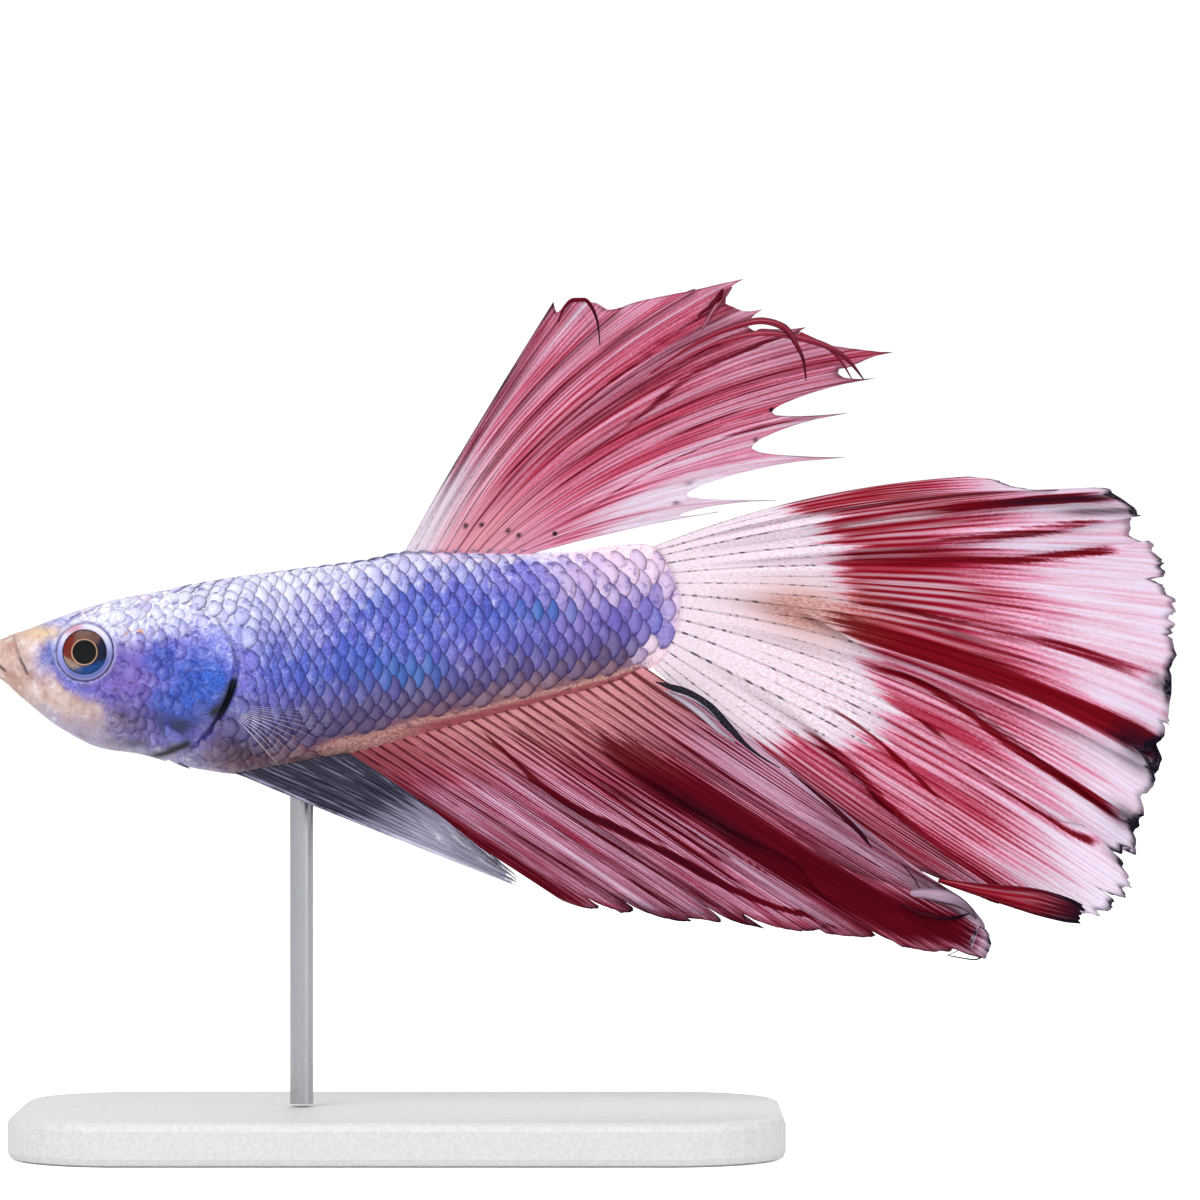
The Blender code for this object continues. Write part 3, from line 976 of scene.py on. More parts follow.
def markings_and_light_group(colours: Palette) -> Tree:
    """Builds the markings that the skin and the scales share, with the painted highlights and painted shade
    laid over them.

    Args:
        colours: The body's colours.

    Returns:
        A group that reads the kept shares and gives the colour, its flecks and the bare jaw.
    """
    graph, given, result = new_group(
        "Betta Markings",
        {"Fleck Size": "Float", "Fleck Strength": "Float"},
        {"Color": "Color", "Fleck": "Float", "Peach": "Float"},
    )
    place = graph.place()
    broad = graph.noise(1.1 * MM, 3.0, place)
    fineness = graph.maths("DIVIDE", 1.0, given.outputs["Fleck Size"])
    lumps = graph.fill(graph.add("ShaderNodeTexNoise"), Detail=3.0, Vector=place, Scale=fineness)
    fine = lumps.outputs["Fac"]
    fleck = graph.window(fine, 0.42, 0.66)

    def ragged(share: Socket, amount: float = 1.6) -> Socket:
        """The share with its soft edge broken up by the flecks."""
        uneven = graph.centred(graph.plus(graph.times(broad, 0.6), graph.times(fine, 0.4)))
        return graph.scaled(graph.times(share, graph.rest(share), uneven), amount * 4, share, clamp=True)

    shares = {}
    for name, keys in TINTS.items():
        for key, channel in zip(keys, graph.split(graph.kept(name, "Color"))):
            shares[key] = channel
    flecks = graph.times(fleck, given.outputs["Fleck Strength"])
    colour = graph.mix(flecks, colours.periwinkle, colours.periwinkle_light)
    patchy = graph.noise(2.3 * MM, 2.0, graph.vector("ADD", place, (0.02, 0.01, 0.03)))
    colour = graph.mix(graph.window(patchy, 0.5, 0.68, 0.0, 0.55), colour, colours.lilac_patch)
    colour = graph.mix(graph.window(patchy, 0.5, 0.34, 0.0, 0.5), colour, colours.blue_patch)
    colour = graph.mix(ragged(shares["violet"]), colour, colours.violet)
    deep = graph.mix(graph.window(fine, 0.38, 0.6), colours.blue_deep, colours.blue)
    colour = graph.mix(ragged(shares["blue"], 2.4), colour, deep)
    for name in ("dusk", "pale", "rose", "tan"):
        colour = graph.mix(ragged(shares[name]), colour, getattr(colours, name))
    flesh = graph.mix(graph.window(fine, 0.35, 0.65), colours.strip, colours.strip_light)
    flesh = graph.mix(graph.window(shares["strip"], 0.72, 1.0), flesh, colours.strip_low)
    colour = graph.mix(graph.window(shares["strip"], 0.0, 0.62), colour, flesh)
    jaw = graph.mix(graph.window(broad, 0.28, 0.8), colours.peach_deep, colours.peach)
    colour = graph.mix(ragged(shares["peach"], 1.2), colour, jaw)
    under = graph.mix(graph.window(broad, 0.45, 0.75), colours.chin, colours.chin_dark)
    colour = graph.mix(ragged(shares["chin"], 1.2), colour, under)
    # Small mottle: painted highlights in its pale lumps, painted shade in its dark lumps.
    mottle = graph.noise(0.55 * MM, 4.0, place, 0.6)
    bright = graph.maths("SUBTRACT", 1.0, graph.maths("MAXIMUM", shares["dusk"], shares["tan"]), clamp=True)
    glow = graph.mix(graph.maths("MAXIMUM", shares["blue"], shares["violet"]), colours.pale, colours.glow)
    colour = graph.mix(graph.times(graph.window(mottle, 0.53, 0.72, 0.0, 0.5), bright), colour, glow)
    shadow = graph.mix(1.0, colour, colours.shadow, "MULTIPLY")
    smooth = graph.rest(graph.times(shares["peach"], 0.85))
    colour = graph.mix(graph.times(graph.window(mottle, 0.46, 0.32, 0.0, 0.75), smooth), colour, shadow)
    colour = graph.mix(shares["gold"], colour, colours.gold)
    colour = graph.mix(ragged(shares["teal"], 2.0), colour, colours.teal)
    # Dark spots and the black membrane, with painted shade in slits, creases and the gill opening.
    colour = graph.mix(ragged(shares["ink"], 1.5), colour, colours.ink)
    graph.fill(result, Color=colour, Fleck=fleck, Peach=shares["peach"])
    return graph.tree


@dataclass(frozen=True)
class SkinFinish:
    """The wet skin under and between the scales, with plates on the cheek and a bare jaw."""

    markings: Tree
    # Painted shade in the gaps between the body's scales and between the cheek's plates.
    bed_colour: Colour = rgb("2c2a66")
    spot_colours: Tuple[Colour, ...] = (rgb("d07a3c"), rgb("a01c22"))
    speck_colour: Colour = rgb("8a6a6c")
    rim_colour: Colour = rgb("c4c6ec")
    roughness: float = 0.34

    def make(self) -> Material:
        """Builds the skin's material.

        Returns:
            The material.
        """
        made, graph, shader = new_material("betta_skin")
        marks = graph.use(self.markings, Fleck_Size=0.16 * MM, Fleck_Strength=0.8)
        colour, peach = marks.outputs["Color"], marks.outputs["Peach"]
        bare = graph.rest(peach)

        plates = graph.cells(0.75 * MM, "DISTANCE_TO_EDGE", "Distance")
        cheek = graph.times(bare, graph.kept("plates"))
        # Painted shade in the seams between the cheek's plates and on the skin between the body's scales.
        seam = graph.times(graph.window(plates, 0.0, 0.07, 1.0, 0.0), cheek)
        colour = graph.mix(graph.times(seam, 0.35), colour, self.bed_colour)
        colour = graph.mix(graph.times(graph.kept("bed"), 0.8), colour, self.bed_colour)
        grain = graph.noise(0.07 * MM, 2.0)
        speck = graph.times(graph.window(grain, 0.56, 0.7), graph.times(peach, 0.35))
        colour = graph.mix(speck, colour, self.speck_colour)
        for key, spot in zip(("spot_orange", "spot_red"), self.spot_colours):
            colour = graph.mix(graph.kept(key), colour, spot)
        colour = graph.mix(graph.kept("rim"), colour, self.rim_colour)

        plate = graph.times(graph.window(plates, 0.0, 0.16), bare)
        relief = graph.plus(plate, graph.times(grain, 0.35))
        graph.fill(
            shader,
            Base_Color=colour,
            Roughness=graph.window(grain, 0.3, 0.7, self.roughness - 0.08, self.roughness + 0.12),
            Specular_IOR_Level=0.3,
            Normal=graph.bump(relief, 0.05 * MM),
            Coat_Weight=0.15,
            Coat_Roughness=0.12,
        )
        return made


@dataclass(frozen=True)
class ScaleFinish:
    """A pearly scale: pale, with a painted glint in the middle, and a dark rim that is partly a darker
    outline and partly painted shade.
    """

    markings: Tree
    rim_colour: Colour = rgb("2e2c72")
    glint_colour: Colour = rgb("dfe6ff")
    dim_colour: Colour = rgb("d2cdf0")
    metallic: float = 0.05
    growth_rings: float = 42.0

    def make(self) -> Material:
        """Builds the scales' material.

        Returns:
            The material.
        """
        made, graph, shader = new_material("betta_scales")
        marks = graph.use(self.markings, Fleck_Size=0.13 * MM, Fleck_Strength=0.55)
        rim, tint = graph.kept("rim"), graph.kept("tint")
        colour = marks.outputs["Color"]
        dim = graph.mix(1.0, colour, graph.mix(tint, self.dim_colour, WHITE), "MULTIPLY")
        pale = graph.split(graph.kept("tint_high", "Color"))[0]
        shine = graph.times(graph.window(rim, 0.75, 0.0), graph.window(tint, 0.1, 1.0, 0.35, 1.0))
        glint = graph.times(shine, graph.scaled(pale, 0.3, 0.1))
        colour = graph.mix(glint, dim, self.glint_colour)
        # The dark rim: a thin darker outline at the edge, over a wide painted shade that darkens from the
        # middle outwards.
        dark = graph.mix(0.6, graph.mix(1.0, colour, self.rim_colour, "MULTIPLY"), self.rim_colour)
        broken = graph.window(graph.noise(0.5 * MM, 2.0), 0.3, 0.65, 0.45, 1.0)
        uneven = graph.times(graph.kept("edge"), broken)
        wide = graph.times(graph.window(rim, 0.15, 1.0), 0.42)
        soft = graph.scaled(graph.window(rim, 0.74, 0.98), 0.42, wide)
        colour = graph.mix(graph.times(soft, uneven), colour, dark)
        growth = graph.maths("SINE", graph.times(rim, self.growth_rings))
        relief = graph.plus(graph.times(growth, 0.25), graph.noise(0.12 * MM, 2.0))
        graph.fill(
            shader,
            Base_Color=colour,
            Metallic=self.metallic,
            Roughness=graph.window(marks.outputs["Fleck"], 0.0, 1.0, 0.45, 0.28),
            Specular_IOR_Level=0.3,
            Normal=graph.bump(relief, 0.03 * MM),
            Coat_Weight=0.15,
            Coat_Roughness=0.12,
        )
        return made


# ---- Skin ----


@dataclass
class Skin:
    """One skin over head, trunk and tail root, closed at the lips and tapered into the tail fin."""

    around: int = 208
    # Start of a stretch and the spacing of its rings.
    spacing: Pairs = ((0.0, 0.075), (12.2, 0.055), (14.2, 0.12), (17.0, 0.17))
    end: float = 41.5
    lip_rings: int = 6
    lip_depth: float = 0.26
    # Coloured dots of the cheek: their attribute, their size, and their places and heights.
    spots: Tuple[Tuple[str, float, Pairs], ...] = (
        ("spot_orange", 0.2, ((9.35, 1.4), (10.1, 1.35))),
        ("spot_red", 0.17, ((10.3, -2.1),)),
    )
    nodes: Tuple[str, ...] = (
        "head", "lower_jaw", "gill_cover_left", "gill_cover_right", "trunk", "tail_base",
    )

    def rings(self) -> Array:
        """Places the rings along the body.

        Returns:
            One place for each ring, from the lips back.
        """
        places, x = [], 0.0
        while x < self.end:
            places.append(x)
            x += [step for start, step in self.spacing if x >= start - 1e-9][-1]
        return np.array(places + [self.end])

    def build(self, finish: Material) -> Piece:
        """Builds the skin.

        Args:
            finish: Its material.

        Returns:
            The finished piece.
        """
        rings = self.rings()
        turns = np.linspace(-math.pi, math.pi, self.around, endpoint=False)
        ring, turn = np.meshgrid(rings, turns, indexing="ij")
        here, _, _, out = BODY.frame_at(ring, turn)
        points = here + out * RELIEF.height(ring, turn, here)[..., None]
        points = np.concatenate((self.lip(points[0]), points))
        ring = np.concatenate((np.zeros((self.lip_rings, self.around)), ring))
        turn = np.concatenate((np.tile(turns, (self.lip_rings, 1)), turn))
        flat = points.reshape(-1, 3)

        ends = np.stack((points[0].mean(0), points[-1].mean(0)))
        faces = [tuple(reversed(f)) for f in grid_faces(len(points), self.around, True)]
        first, last = len(flat), len(flat) + 1
        base = (len(points) - 1) * self.around
        for c in range(self.around):
            d = (c + 1) % self.around
            faces.append((c, d, first))
            faces.append((base + d, base + c, last))
        piece = mesh_object("skin", to_row(np.concatenate((flat, ends))), faces)
        face_outwards(piece)

        x, _, z = np.concatenate((flat, ends)).T
        low = np.abs(turn)
        # Painted shade in the sunken gill opening, on the lower flank.
        fold = 0.5 * bell(ring - BODY.gill_x - 0.18, 0.15) * ease(1.55, 1.85, low)
        fold = fold * (1 - 0.85 * ease(1.95, 2.25, low))
        ZONES.keep_on(piece, x, z, np.concatenate((fold.ravel(), (0.0, 0.0))))
        store(piece, "rim", 0.6 * bell(RELIEF.from_eye(x, z) - 1.78, 0.1))
        up = BODY.level(x, z)
        # Painted shade on the skin between the body's scales.
        bed = ease(15.5, 17.5, x) * fade(39.5, 41.0, x) * ease(0.14, 0.24, up)
        top = 0.9 - 0.14 * ease(29.0, 33.0, x)
        store(piece, "bed", bed * fade(top, top + 0.07, up))
        store(piece, "plates", 1 - ease(13.0, 15.0, x))
        for name, size, places in self.spots:
            dots = (1 - ease(size * 0.6, size * 1.3, np.hypot(x - sx, z - sz)) for sx, sz in places)
            store(piece, name, sum(0.9 * dot for dot in dots))
        piece.data.materials.append(finish)
        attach(piece, "root")
        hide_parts(*self.nodes)
        return piece

    def lip(self, edge: Array) -> Array:
        """Rounds the snout off in rings that shrink towards the lips' middle.

        Args:
            edge: The first ring's points.

        Returns:
            The rings, the smallest first.
        """
        middle = edge.mean(0)
        bends = np.linspace(math.pi / 2 * 0.93, math.pi / 2 / self.lip_rings, self.lip_rings)
        ahead = np.array((self.lip_depth, 0, 0))
        return np.stack([middle + (edge - middle) * math.cos(b) - ahead * math.sin(b) for b in bends])


# ---- Scales ----


@dataclass(frozen=True)
class ScaleShape:
    """One scale: a domed plate, rounded behind, whose front lies under its neighbours."""

    columns: int = 6
    rows: int = 6
    point: float = 2.1
    thickness: float = 0.035

    def build(self, name: str) -> Piece:
        """Builds the scale about its root, one millimetre long and one high.

        Args:
            name: The object's name.

        Returns:
            The object, with its rim and patch kept on it.
        """
        spots, rims, patch = [], [], []
        for layer in (0, 1):
            for r in range(self.rows + 1):
                v = 2 * r / self.rows - 1
                rear = 0.6 * (1 - abs(v) ** self.point)
                front = -0.62 + 0.25 * v * v
                for c in range(self.columns + 1):
                    t = c / self.columns
                    x = front + (rear - front) * t
                    rise = 0.02 + 0.075 * (t - 0.4) - 0.03 * v * v + 0.02 * math.sin(math.pi * t)
                    spots.append((x, 0.5 * v, rise - layer * self.thickness))
                    across = 1 - (1 - abs(v)) * 2.2
                    rims.append(min(max(0.0, 1 - (1 - t) * 2.6, across if t > 0.25 else 0.0), 1.0))
                    patch.append((t - 0.5, 0.5 * v, 0.0))
        piece = mesh_object(name, np.array(spots) * MM, slab_faces(self.rows + 1, self.columns + 1))
        face_outwards(piece)
        store(piece, "rim", np.array(rims))
        store(piece, "patch", np.array(patch))
        return piece


@dataclass
class Coat:
    """A coat of overlapping scales in rows that follow the body."""

    name: str
    start: float
    end: float
    pitch: float
    row_pitch: float
    length: float
    height: float
    jitter: float
    lift: float
    relief: float = 1.0
    edge: float = 1.0
    patch_size: float = 0.003
    map_length: float = 46.0
    seed: int = 7

    def roots(self) -> Tuple[Array, Array]:
        """Sets out the scales in offset rows on both sides.

        Returns:
            The ring and the turn of each scale's root.
        """
        rings, turns = [], []
        fine = np.linspace(0.0, math.pi, 240)
        columns = int((self.end - self.start) / (self.pitch / 2))
        for column in range(columns):
            x = self.start + column * self.pitch / 2
            girth = BODY.point(np.full_like(fine, x), fine)
            lengths = np.concatenate(([0.0], np.cumsum(np.linalg.norm(np.diff(girth, axis=0), axis=1))))
            places = np.arange(0.0 if column % 2 else 0.5, lengths[-1] / self.row_pitch, 1.0) * self.row_pitch
            half = np.interp(places, lengths, fine)
            for turn in half:
                for side in Side:
                    if side is Side.RIGHT and turn in (half[0], half[-1]) and abs(math.sin(turn)) < 1e-3:
                        continue
                    rings.append(x)
                    turns.append(-side.value * turn)
        return np.array(rings), np.array(turns)

    def wanted(self, x: Array, z: Array, turn: Array) -> Array:
        """Which roots carry a scale. All do, unless a kind of coat says otherwise."""
        return np.ones(len(x), bool)

    def scatter(self) -> Piece:
        """Makes the mesh of roots, which keep each scale's turn, size, bend, tint and colours.

        Returns:
            The mesh, which has points and no faces.
        """
        chance = np.random.default_rng(self.seed)
        ring, turn = self.roots()
        ring = ring + chance.uniform(-1, 1, len(ring)) * self.jitter * self.pitch
        turn = turn + chance.uniform(-1, 1, len(ring)) * self.jitter * 0.1
        here, along, down, out = BODY.frame_at(ring, turn)
        keep = self.wanted(here[:, 0], here[:, 2], turn)
        ring, turn, here, along, down, out = (a[keep] for a in (ring, turn, here, along, down, out))
        points = here + out * (RELIEF.height(ring, turn, here) + self.lift)[:, None]
        narrow = self.narrowing(ring)
        length = self.length * (0.4 + 0.6 * narrow)
        size = np.stack((length, self.height * narrow, self.relief + 0 * ring), -1)
        size *= 1 + chance.uniform(-1, 1, (len(ring), 1)) * (0.03 + 0.4 * self.jitter)

        x, z = here[:, 0], here[:, 2]
        up = BODY.level(x, z)
        size[:, 1] *= 1 - 0.4 * fade(0.14, 0.3, up) * ease(17.0, 20.0, x)
        ridge = ease(0.72, 0.95, up) * ease(28.0, 35.0, x)
        size[:, :2] *= (1 - 0.25 * ridge)[:, None]
        size[:, 2] *= 1 - 0.5 * np.maximum(ridge, ease(38.0, 42.0, x))
        points -= out * (0.04 * ridge)[:, None]
        small = 0.01
        round_here = np.linalg.norm(BODY.point(ring, turn + small) - here, axis=1) / small
        step = 0.5 * size[:, 1] / np.maximum(round_here, 0.6)
        drops = [np.sum((here - BODY.point(ring, turn + way * step)) * out, axis=1) for way in (-1, 1)]
        sharp = np.maximum(drops[0], drops[1]) / (0.5 * size[:, 1])
        shrink = 1 / (1 + 1.6 * np.maximum(sharp - 0.3, 0.0))
        size[:, 1] *= shrink
        drops = [np.clip(drop * shrink**2, 0.0, 0.8) for drop in drops]
        angles = []
        for a, o in zip(along, out):
            turned = Matrix((a, np.cross(o, a), o)).transposed()
            spin = Matrix.Rotation(float(chance.normal(0, self.jitter * 0.5)), 3, "Z")
            angles.append((turned @ spin).to_euler("XYZ")[:])
        piece = mesh_object(f"{self.name}_roots", to_row(points), [], smooth=False)
        store(piece, "turned", np.array(angles))
        store(piece, "size", size)
        for name, drop in zip(("sink_up", "sink_down"), drops):
            store(piece, name, -out * drop[:, None] * 4 * MM)
        store(piece, "tint", chance.beta(2.0, 2.0, len(ring)))
        pale = ZONES.masks(x, z)["pale"]
        store(piece, "edge", self.edge * (1 - 0.8 * ease(38.5, 42.0, x)) * (1 - 0.2 * pale))
        along_map, round_map = x / self.map_length, turn / (2 * math.pi) + 0.5
        store(piece, "root_place", np.stack((0.02 + 0.96 * along_map, 0.02 + 0.96 * round_map, 0 * turn), -1))
        breast_part = ease(14.0, 15.0, x) * fade(-4.6, -3.6, z)
        ZONES.keep_on(piece, x, z, -0.8 * ZONES.ink(x, z) * (1 - breast_part))
        return piece

    def narrowing(self, ring: Array) -> Array:
        """How high a scale is there, as a share of its full height."""
        return 0.52 + 0.48 * ease(13.0, 18.0, ring) - 0.18 * ease(36.0, 41.5, ring)

    def tree(self, finish: Material) -> Tree:
        """Builds the tree that grows a scale on each root.

        Args:
            finish: The scales' material.

        Returns:
            A Geometry Nodes tree with the inputs "Scale Shape" and "Patch Size".
        """
        tree = bpy.data.node_groups.new(f"Grow {self.name}", "GeometryNodeTree")
        add_sockets(tree, "INPUT", {"Roots": "Geometry", "Scale Shape": "Object", "Patch Size": "Float"})
        add_sockets(tree, "OUTPUT", {"Scales": "Geometry"})
        graph = Graph(tree)
        given, result = graph.add("NodeGroupInput"), graph.add("NodeGroupOutput")

        def kept(name: str) -> Socket:
            """Reads an attribute of the roots or of the scale."""
            node = graph.add("GeometryNodeInputNamedAttribute", data_type="FLOAT_VECTOR")
            return graph.fill(node, Name=name).outputs["Attribute"]

        shape = graph.add("GeometryNodeObjectInfo", transform_space="ORIGINAL")
        graph.fill(shape, Object=given.outputs["Scale Shape"])
        turn = graph.add("FunctionNodeEulerToRotation")
        graph.put(turn.inputs[0], kept("turned"))
        grow = graph.fill(
            graph.add("GeometryNodeInstanceOnPoints"),
            Points=given.outputs["Roots"],
            Instance=shape.outputs["Geometry"],
            Rotation=turn.outputs[0],
            Scale=kept("size"),
        )
        real = graph.fill(graph.add("GeometryNodeRealizeInstances"), Geometry=grow.outputs[0])
        across = graph.split(kept("patch"), "XYZ")[1]
        sinks = []
        for name, way in (("sink_up", 1.0), ("sink_down", -1.0)):
            half = graph.maths("MAXIMUM", graph.times(across, way), 0.0)
            sinks.append(graph.stretched(kept(name), graph.times(half, half)))
        bent = graph.add("GeometryNodeSetPosition")
        graph.fill(bent, Geometry=real.outputs[0], Offset=graph.vector("ADD", *sinks))
        mapped = graph.add("GeometryNodeStoreNamedAttribute", data_type="FLOAT2", domain="CORNER")
        spread = graph.stretched(kept("patch"), given.outputs["Patch Size"])
        unwrapped = graph.vector("ADD", kept("root_place"), spread)
        graph.fill(mapped, Name="OFBake", Geometry=bent.outputs[0], Value=unwrapped)
        dressed = graph.add("GeometryNodeSetMaterial")
        graph.fill(dressed, Geometry=mapped.outputs[0], Material=finish)
        graph.fill(result, Scales=dressed.outputs[0])
        return tree

    def build(self, shape: Piece, finish: Material) -> Piece:
        """Grows the coat.

        Args:
            shape: The scale that every root carries.
            finish: The scales' material.

        Returns:
            The finished piece, one plain mesh.
        """
        roots = self.scatter()
        grown = roots.modifiers.new("grow", "NODES")
        grown.node_group = self.tree(finish)
        values = {"Scale Shape": shape, "Patch Size": self.patch_size}
        for item in grown.node_group.interface.items_tree:
            if item.name in values and item.in_out == "INPUT":
                grown[item.identifier] = values[item.name]
        piece = as_plain_mesh(roots, self.name)
        piece.data.shade_smooth()
        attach(piece, "root")
        return piece


def breast(x: Array, z: Array) -> Array:
    """Whether a place lies on the breast, whose scales are small."""
    return (x > 12.6) & (BODY.level(x, z) < 0.4 - 0.055 * (x - 12.6))


class HeadCoat(Coat):
    """The small, uneven scales of the crown, cheek and gill covers."""

    def wanted(self, x: Array, z: Array, turn: Array) -> Array:
        """None round the eye, on the bare jaw and snout or the gill opening, but some on the breast.

        Args:
            x: The roots' places behind the snout.
            z: Their heights above the snout.
            turn: Their turns about the body.

        Returns:
            Whether each root carries a scale.
        """
        share, low = ZONES.masks(x, z), np.abs(turn)
        far = RELIEF.from_eye(x, z)
        nape = (low < 0.8) & (x > 12.0)
        ring = x - BODY.shift(x, turn)
        scaly = (share["peach"] + share["chin"] < 0.4) & (share["ink"] < 0.5)
        face = scaly & (far > 2.12) & (low < 2.7) & ~nape
        rear = (ring > 12.2) & (low > 1.0)
        return face & (ring < 13.4) & ~rear | breast(x, z) & (ring > 13.9) & (low < 2.9)

    def narrowing(self, ring: Array) -> Array:
        """The scales shrink towards the snout and on the breast."""
        return np.clip(0.62 + (ring - 6.0) * 0.05, 0.5, 1.0) - 0.15 * ease(13.0, 14.0, ring)


class BodyCoat(Coat):
    """The large scales of the trunk and the tail root."""

    def wanted(self, x: Array, z: Array, turn: Array) -> Array:
        """None on the fleshy strip at the anal fin's base, nor on the gill covers.

        Args:
            x: The roots' places behind the snout.
            z: Their heights above the snout.
            turn: Their turns about the body.

        Returns:
            Whether each root carries a scale.
        """
        covered = (x < 14.0 + BODY.shift(np.full_like(x, 13.4), turn)) & (np.abs(turn) > 0.84)
        up = BODY.level(x, z)
        bare = (up < 0.125) & (x > 20.5) | (up < 0.2) & (x > 40.0) | (up > 0.9) & (x > 33.0)
        bare |= x > 42.2 + 0.5 * ripple(z / 1.3, 0.6)
        return ~bare & (ZONES.ink(x, z) < 0.6) & ~covered & ~breast(x, z)


@dataclass(frozen=True)
class Fold:
    """A pleat, as its path across the fin (out, share), its width, depth, doubling and how dark it is."""

    path: Pairs
    width: float
    depth: float = 0.35
    doubling: float = 2.6
    start: float = 0.1
    full: float = 0.4
    dark: float = 1.0

    def turn(self, share: Array, out: Array) -> Array:
        """How many widths a point of the fin lies past the pleat's middle."""
        return (share - smooth_curve(self.path, out, 1)) / self.width


@dataclass(frozen=True)
class Curl:
    """A rolled tip: where across the fin, how wide, from how far out, and the roll's radius (mm)."""

    share: float
    width: float
    start: float
    radius: float


@dataclass(frozen=True)
class FinForm:
    """The shape of a fin as a fan of rays, with its webs, pleats and sway."""

    name: str
    base: Callable[[Array], Array]
    # Share of the base, tip x, tip z, angle at which the ray leaves the body.
    rays: Rows
    notches: Tuple[float, ...]
    folds: Tuple[Fold, ...] = ()
    curls: Tuple[Curl, ...] = ()
    sway: Pairs = ((0.0, 0.0), (1.0, 0.0))
    fray: float = 0.012
    fray_count: float = 60.0
    lobed: bool = False
    columns_per_web: int = 30
    rows: int = 90
    thickness: float = 0.1
    root: float = 0.2
    most_rolled: float = 4.4
    offset: Callable[[Array, Array], Array] = field(default=lambda share, out: 0.0 * share)

    @property
    def columns(self) -> int:
        """How many columns of faces the fin has."""
        return self.columns_per_web * len(self.notches)

    def reach(self, share: Array) -> Array:
        """How far out the edge lies at a share of the base: webs stop short of the ray tips.

        Args:
            share: Place across the fin, from its leading ray to its last.

        Returns:
            The edge's place, as a share of the ray's length.
        """
        along = unit(share) * len(self.notches)
        i = np.clip(along.astype(int), 0, len(self.notches) - 1)
        arch = np.sin(math.pi * unit(along - i))
        web = np.asarray(self.notches)[i] * (1 - arch**0.4 if self.lobed else arch**0.55)
        ragged = np.abs(ripple(share * self.fray_count / 6.0, len(self.notches)))
        ragged += 0.6 * np.abs(ripple(share * self.fray_count / 2.1, 2.0))
        return 1.0 - web - self.fray * ragged

    def fan(self, share: Array, out: Array) -> Array:
        """A point of the flat fan in side view, as x and z.

        Args:
            share: Place across the fin, from its leading ray to its last.
            out: Place along the ray, from the body to its tip.

        Returns:
            The x and z of each point.
        """
        start = self.base(share)
        tip = np.stack((smooth_curve(self.rays, share, 1), smooth_curve(self.rays, share, 2)), -1)
        angle = np.radians(smooth_curve(self.rays, share, 3))
        length = np.linalg.norm(tip - start, axis=-1)
        bend = start + np.stack((np.cos(angle), np.sin(angle)), -1) * (0.5 * length)[..., None]
        t = out[..., None]
        return start * (1 - t) ** 2 + bend * (2 * t * (1 - t)) + tip * t**2

    def folded(self, share: Array, out: Array) -> Tuple[Array, Array, Array]:
        """Finds where the pleats take each point.

        Args:
            share: Place across the fin, from its leading ray to its last.
            out: Place along the ray, from the body to the edge.

        Returns:
            The point's new share in the fan, its sideways step, and how dark it is.
        """
        placed, step, dark = share.copy(), np.zeros_like(share), np.zeros_like(share)
        for fold in self.folds:
            grown = ease(fold.start, fold.full, out)
            t = fold.turn(share, out)
            placed = placed - fold.doubling * fold.width * t * np.exp(-t * t) * grown
            step = step + fold.depth * np.tanh(1.6 * t) * np.exp(-((t / 2.6) ** 2)) * ease(0.0, 0.3, out)
            dark = np.maximum(dark, fold.dark * grown * fade(1.05, 1.4, np.abs(t)))
        return placed, step, dark

    def surface(self, share: Array, out: Array) -> Array:
        """Points of the fin's middle sheet.

        Args:
            share: Place across the fin, from its leading ray to its last.
            out: Place along the ray, from the body to the edge.

        Returns:
            The points, in millimetres from the snout.
        """
        placed, step, _ = self.folded(share, out)
        placed = unit(placed)
        reach = out * self.reach(share)
        lift = np.zeros_like(share)
        for curl in self.curls:
            weight = bell(share - curl.share, curl.width)
            start = self.fan(placed, np.zeros_like(out))
            tip = self.fan(placed, np.ones_like(out))
            length = np.linalg.norm(tip - start, axis=-1)
            past = np.maximum(reach - curl.start, 0.0) * length
            bend = np.minimum(past / curl.radius, self.most_rolled)
            rolled = curl.start + curl.radius * np.sin(bend) / length
            reach = np.where(reach > curl.start, reach + (rolled - reach) * weight, reach)
            lift -= weight * curl.radius * (1 - np.cos(bend))
        flat = self.fan(placed, np.clip(reach, 0.0, 1.2))
        swing = smooth_curve(self.sway, placed, 1) * reach**1.3
        y = BODY.spine(flat[..., 0]) + step + swing + lift + self.offset(share, out)
        return np.stack((flat[..., 0], y, flat[..., 1]), -1)


@dataclass(frozen=True)
class FinZones:
    """Which colours a fin has where. The base class is one colour all over."""

    # Dark bands: path (out, share, half width), where it starts and ends, strength.
    bands: Tuple[Tuple, ...] = ()

    def dark(self, share: Array, out: Array) -> Array:
        """How far it is the darkest red, in bands along some rays.

        Args:
            share: Place across the fin, from its leading ray to its last.
            out: Place along the ray, from the body to the edge.

        Returns:
            The share at each place, from 0 to 1.
        """
        most = np.zeros_like(share)
        for path, start, end, strength in self.bands:
            half_width = np.maximum(smooth_curve(path, out, 2), 0.005)
            far = np.abs(share - smooth_curve(path, out, 1)) / half_width
            here = ease(start - 0.05, start + 0.08, out) * fade(end - 0.06, end + 0.04, out)
            most = np.maximum(most, strength * here * fade(0.55, 1.35, far))
        return most

    def red(self, share: Array, out: Array) -> Array:
        """How red the membrane is, from lavender white at 0 through rose to crimson at 1."""
        return np.zeros_like(share)

    def cream(self, share: Array, out: Array) -> Array:
        """How far it is the opaque cream white of the tail's root."""
        return np.zeros_like(share)

    def ink(self, share: Array, out: Array) -> Array:
        """How far it is blue black, such as along the torn edge."""
        return ease(0.981, 0.994, out) * (0.75 + 0.4 * ripple(share * 9.0, 1.0))

    def tan(self, share: Array, out: Array) -> Array:
        """How far it is tan or flesh coloured."""
        return np.zeros_like(share)

    def body(self, share: Array, out: Array) -> Array:
        """How solid it is: the membrane's clearness is scaled by this."""
        return np.ones_like(share)


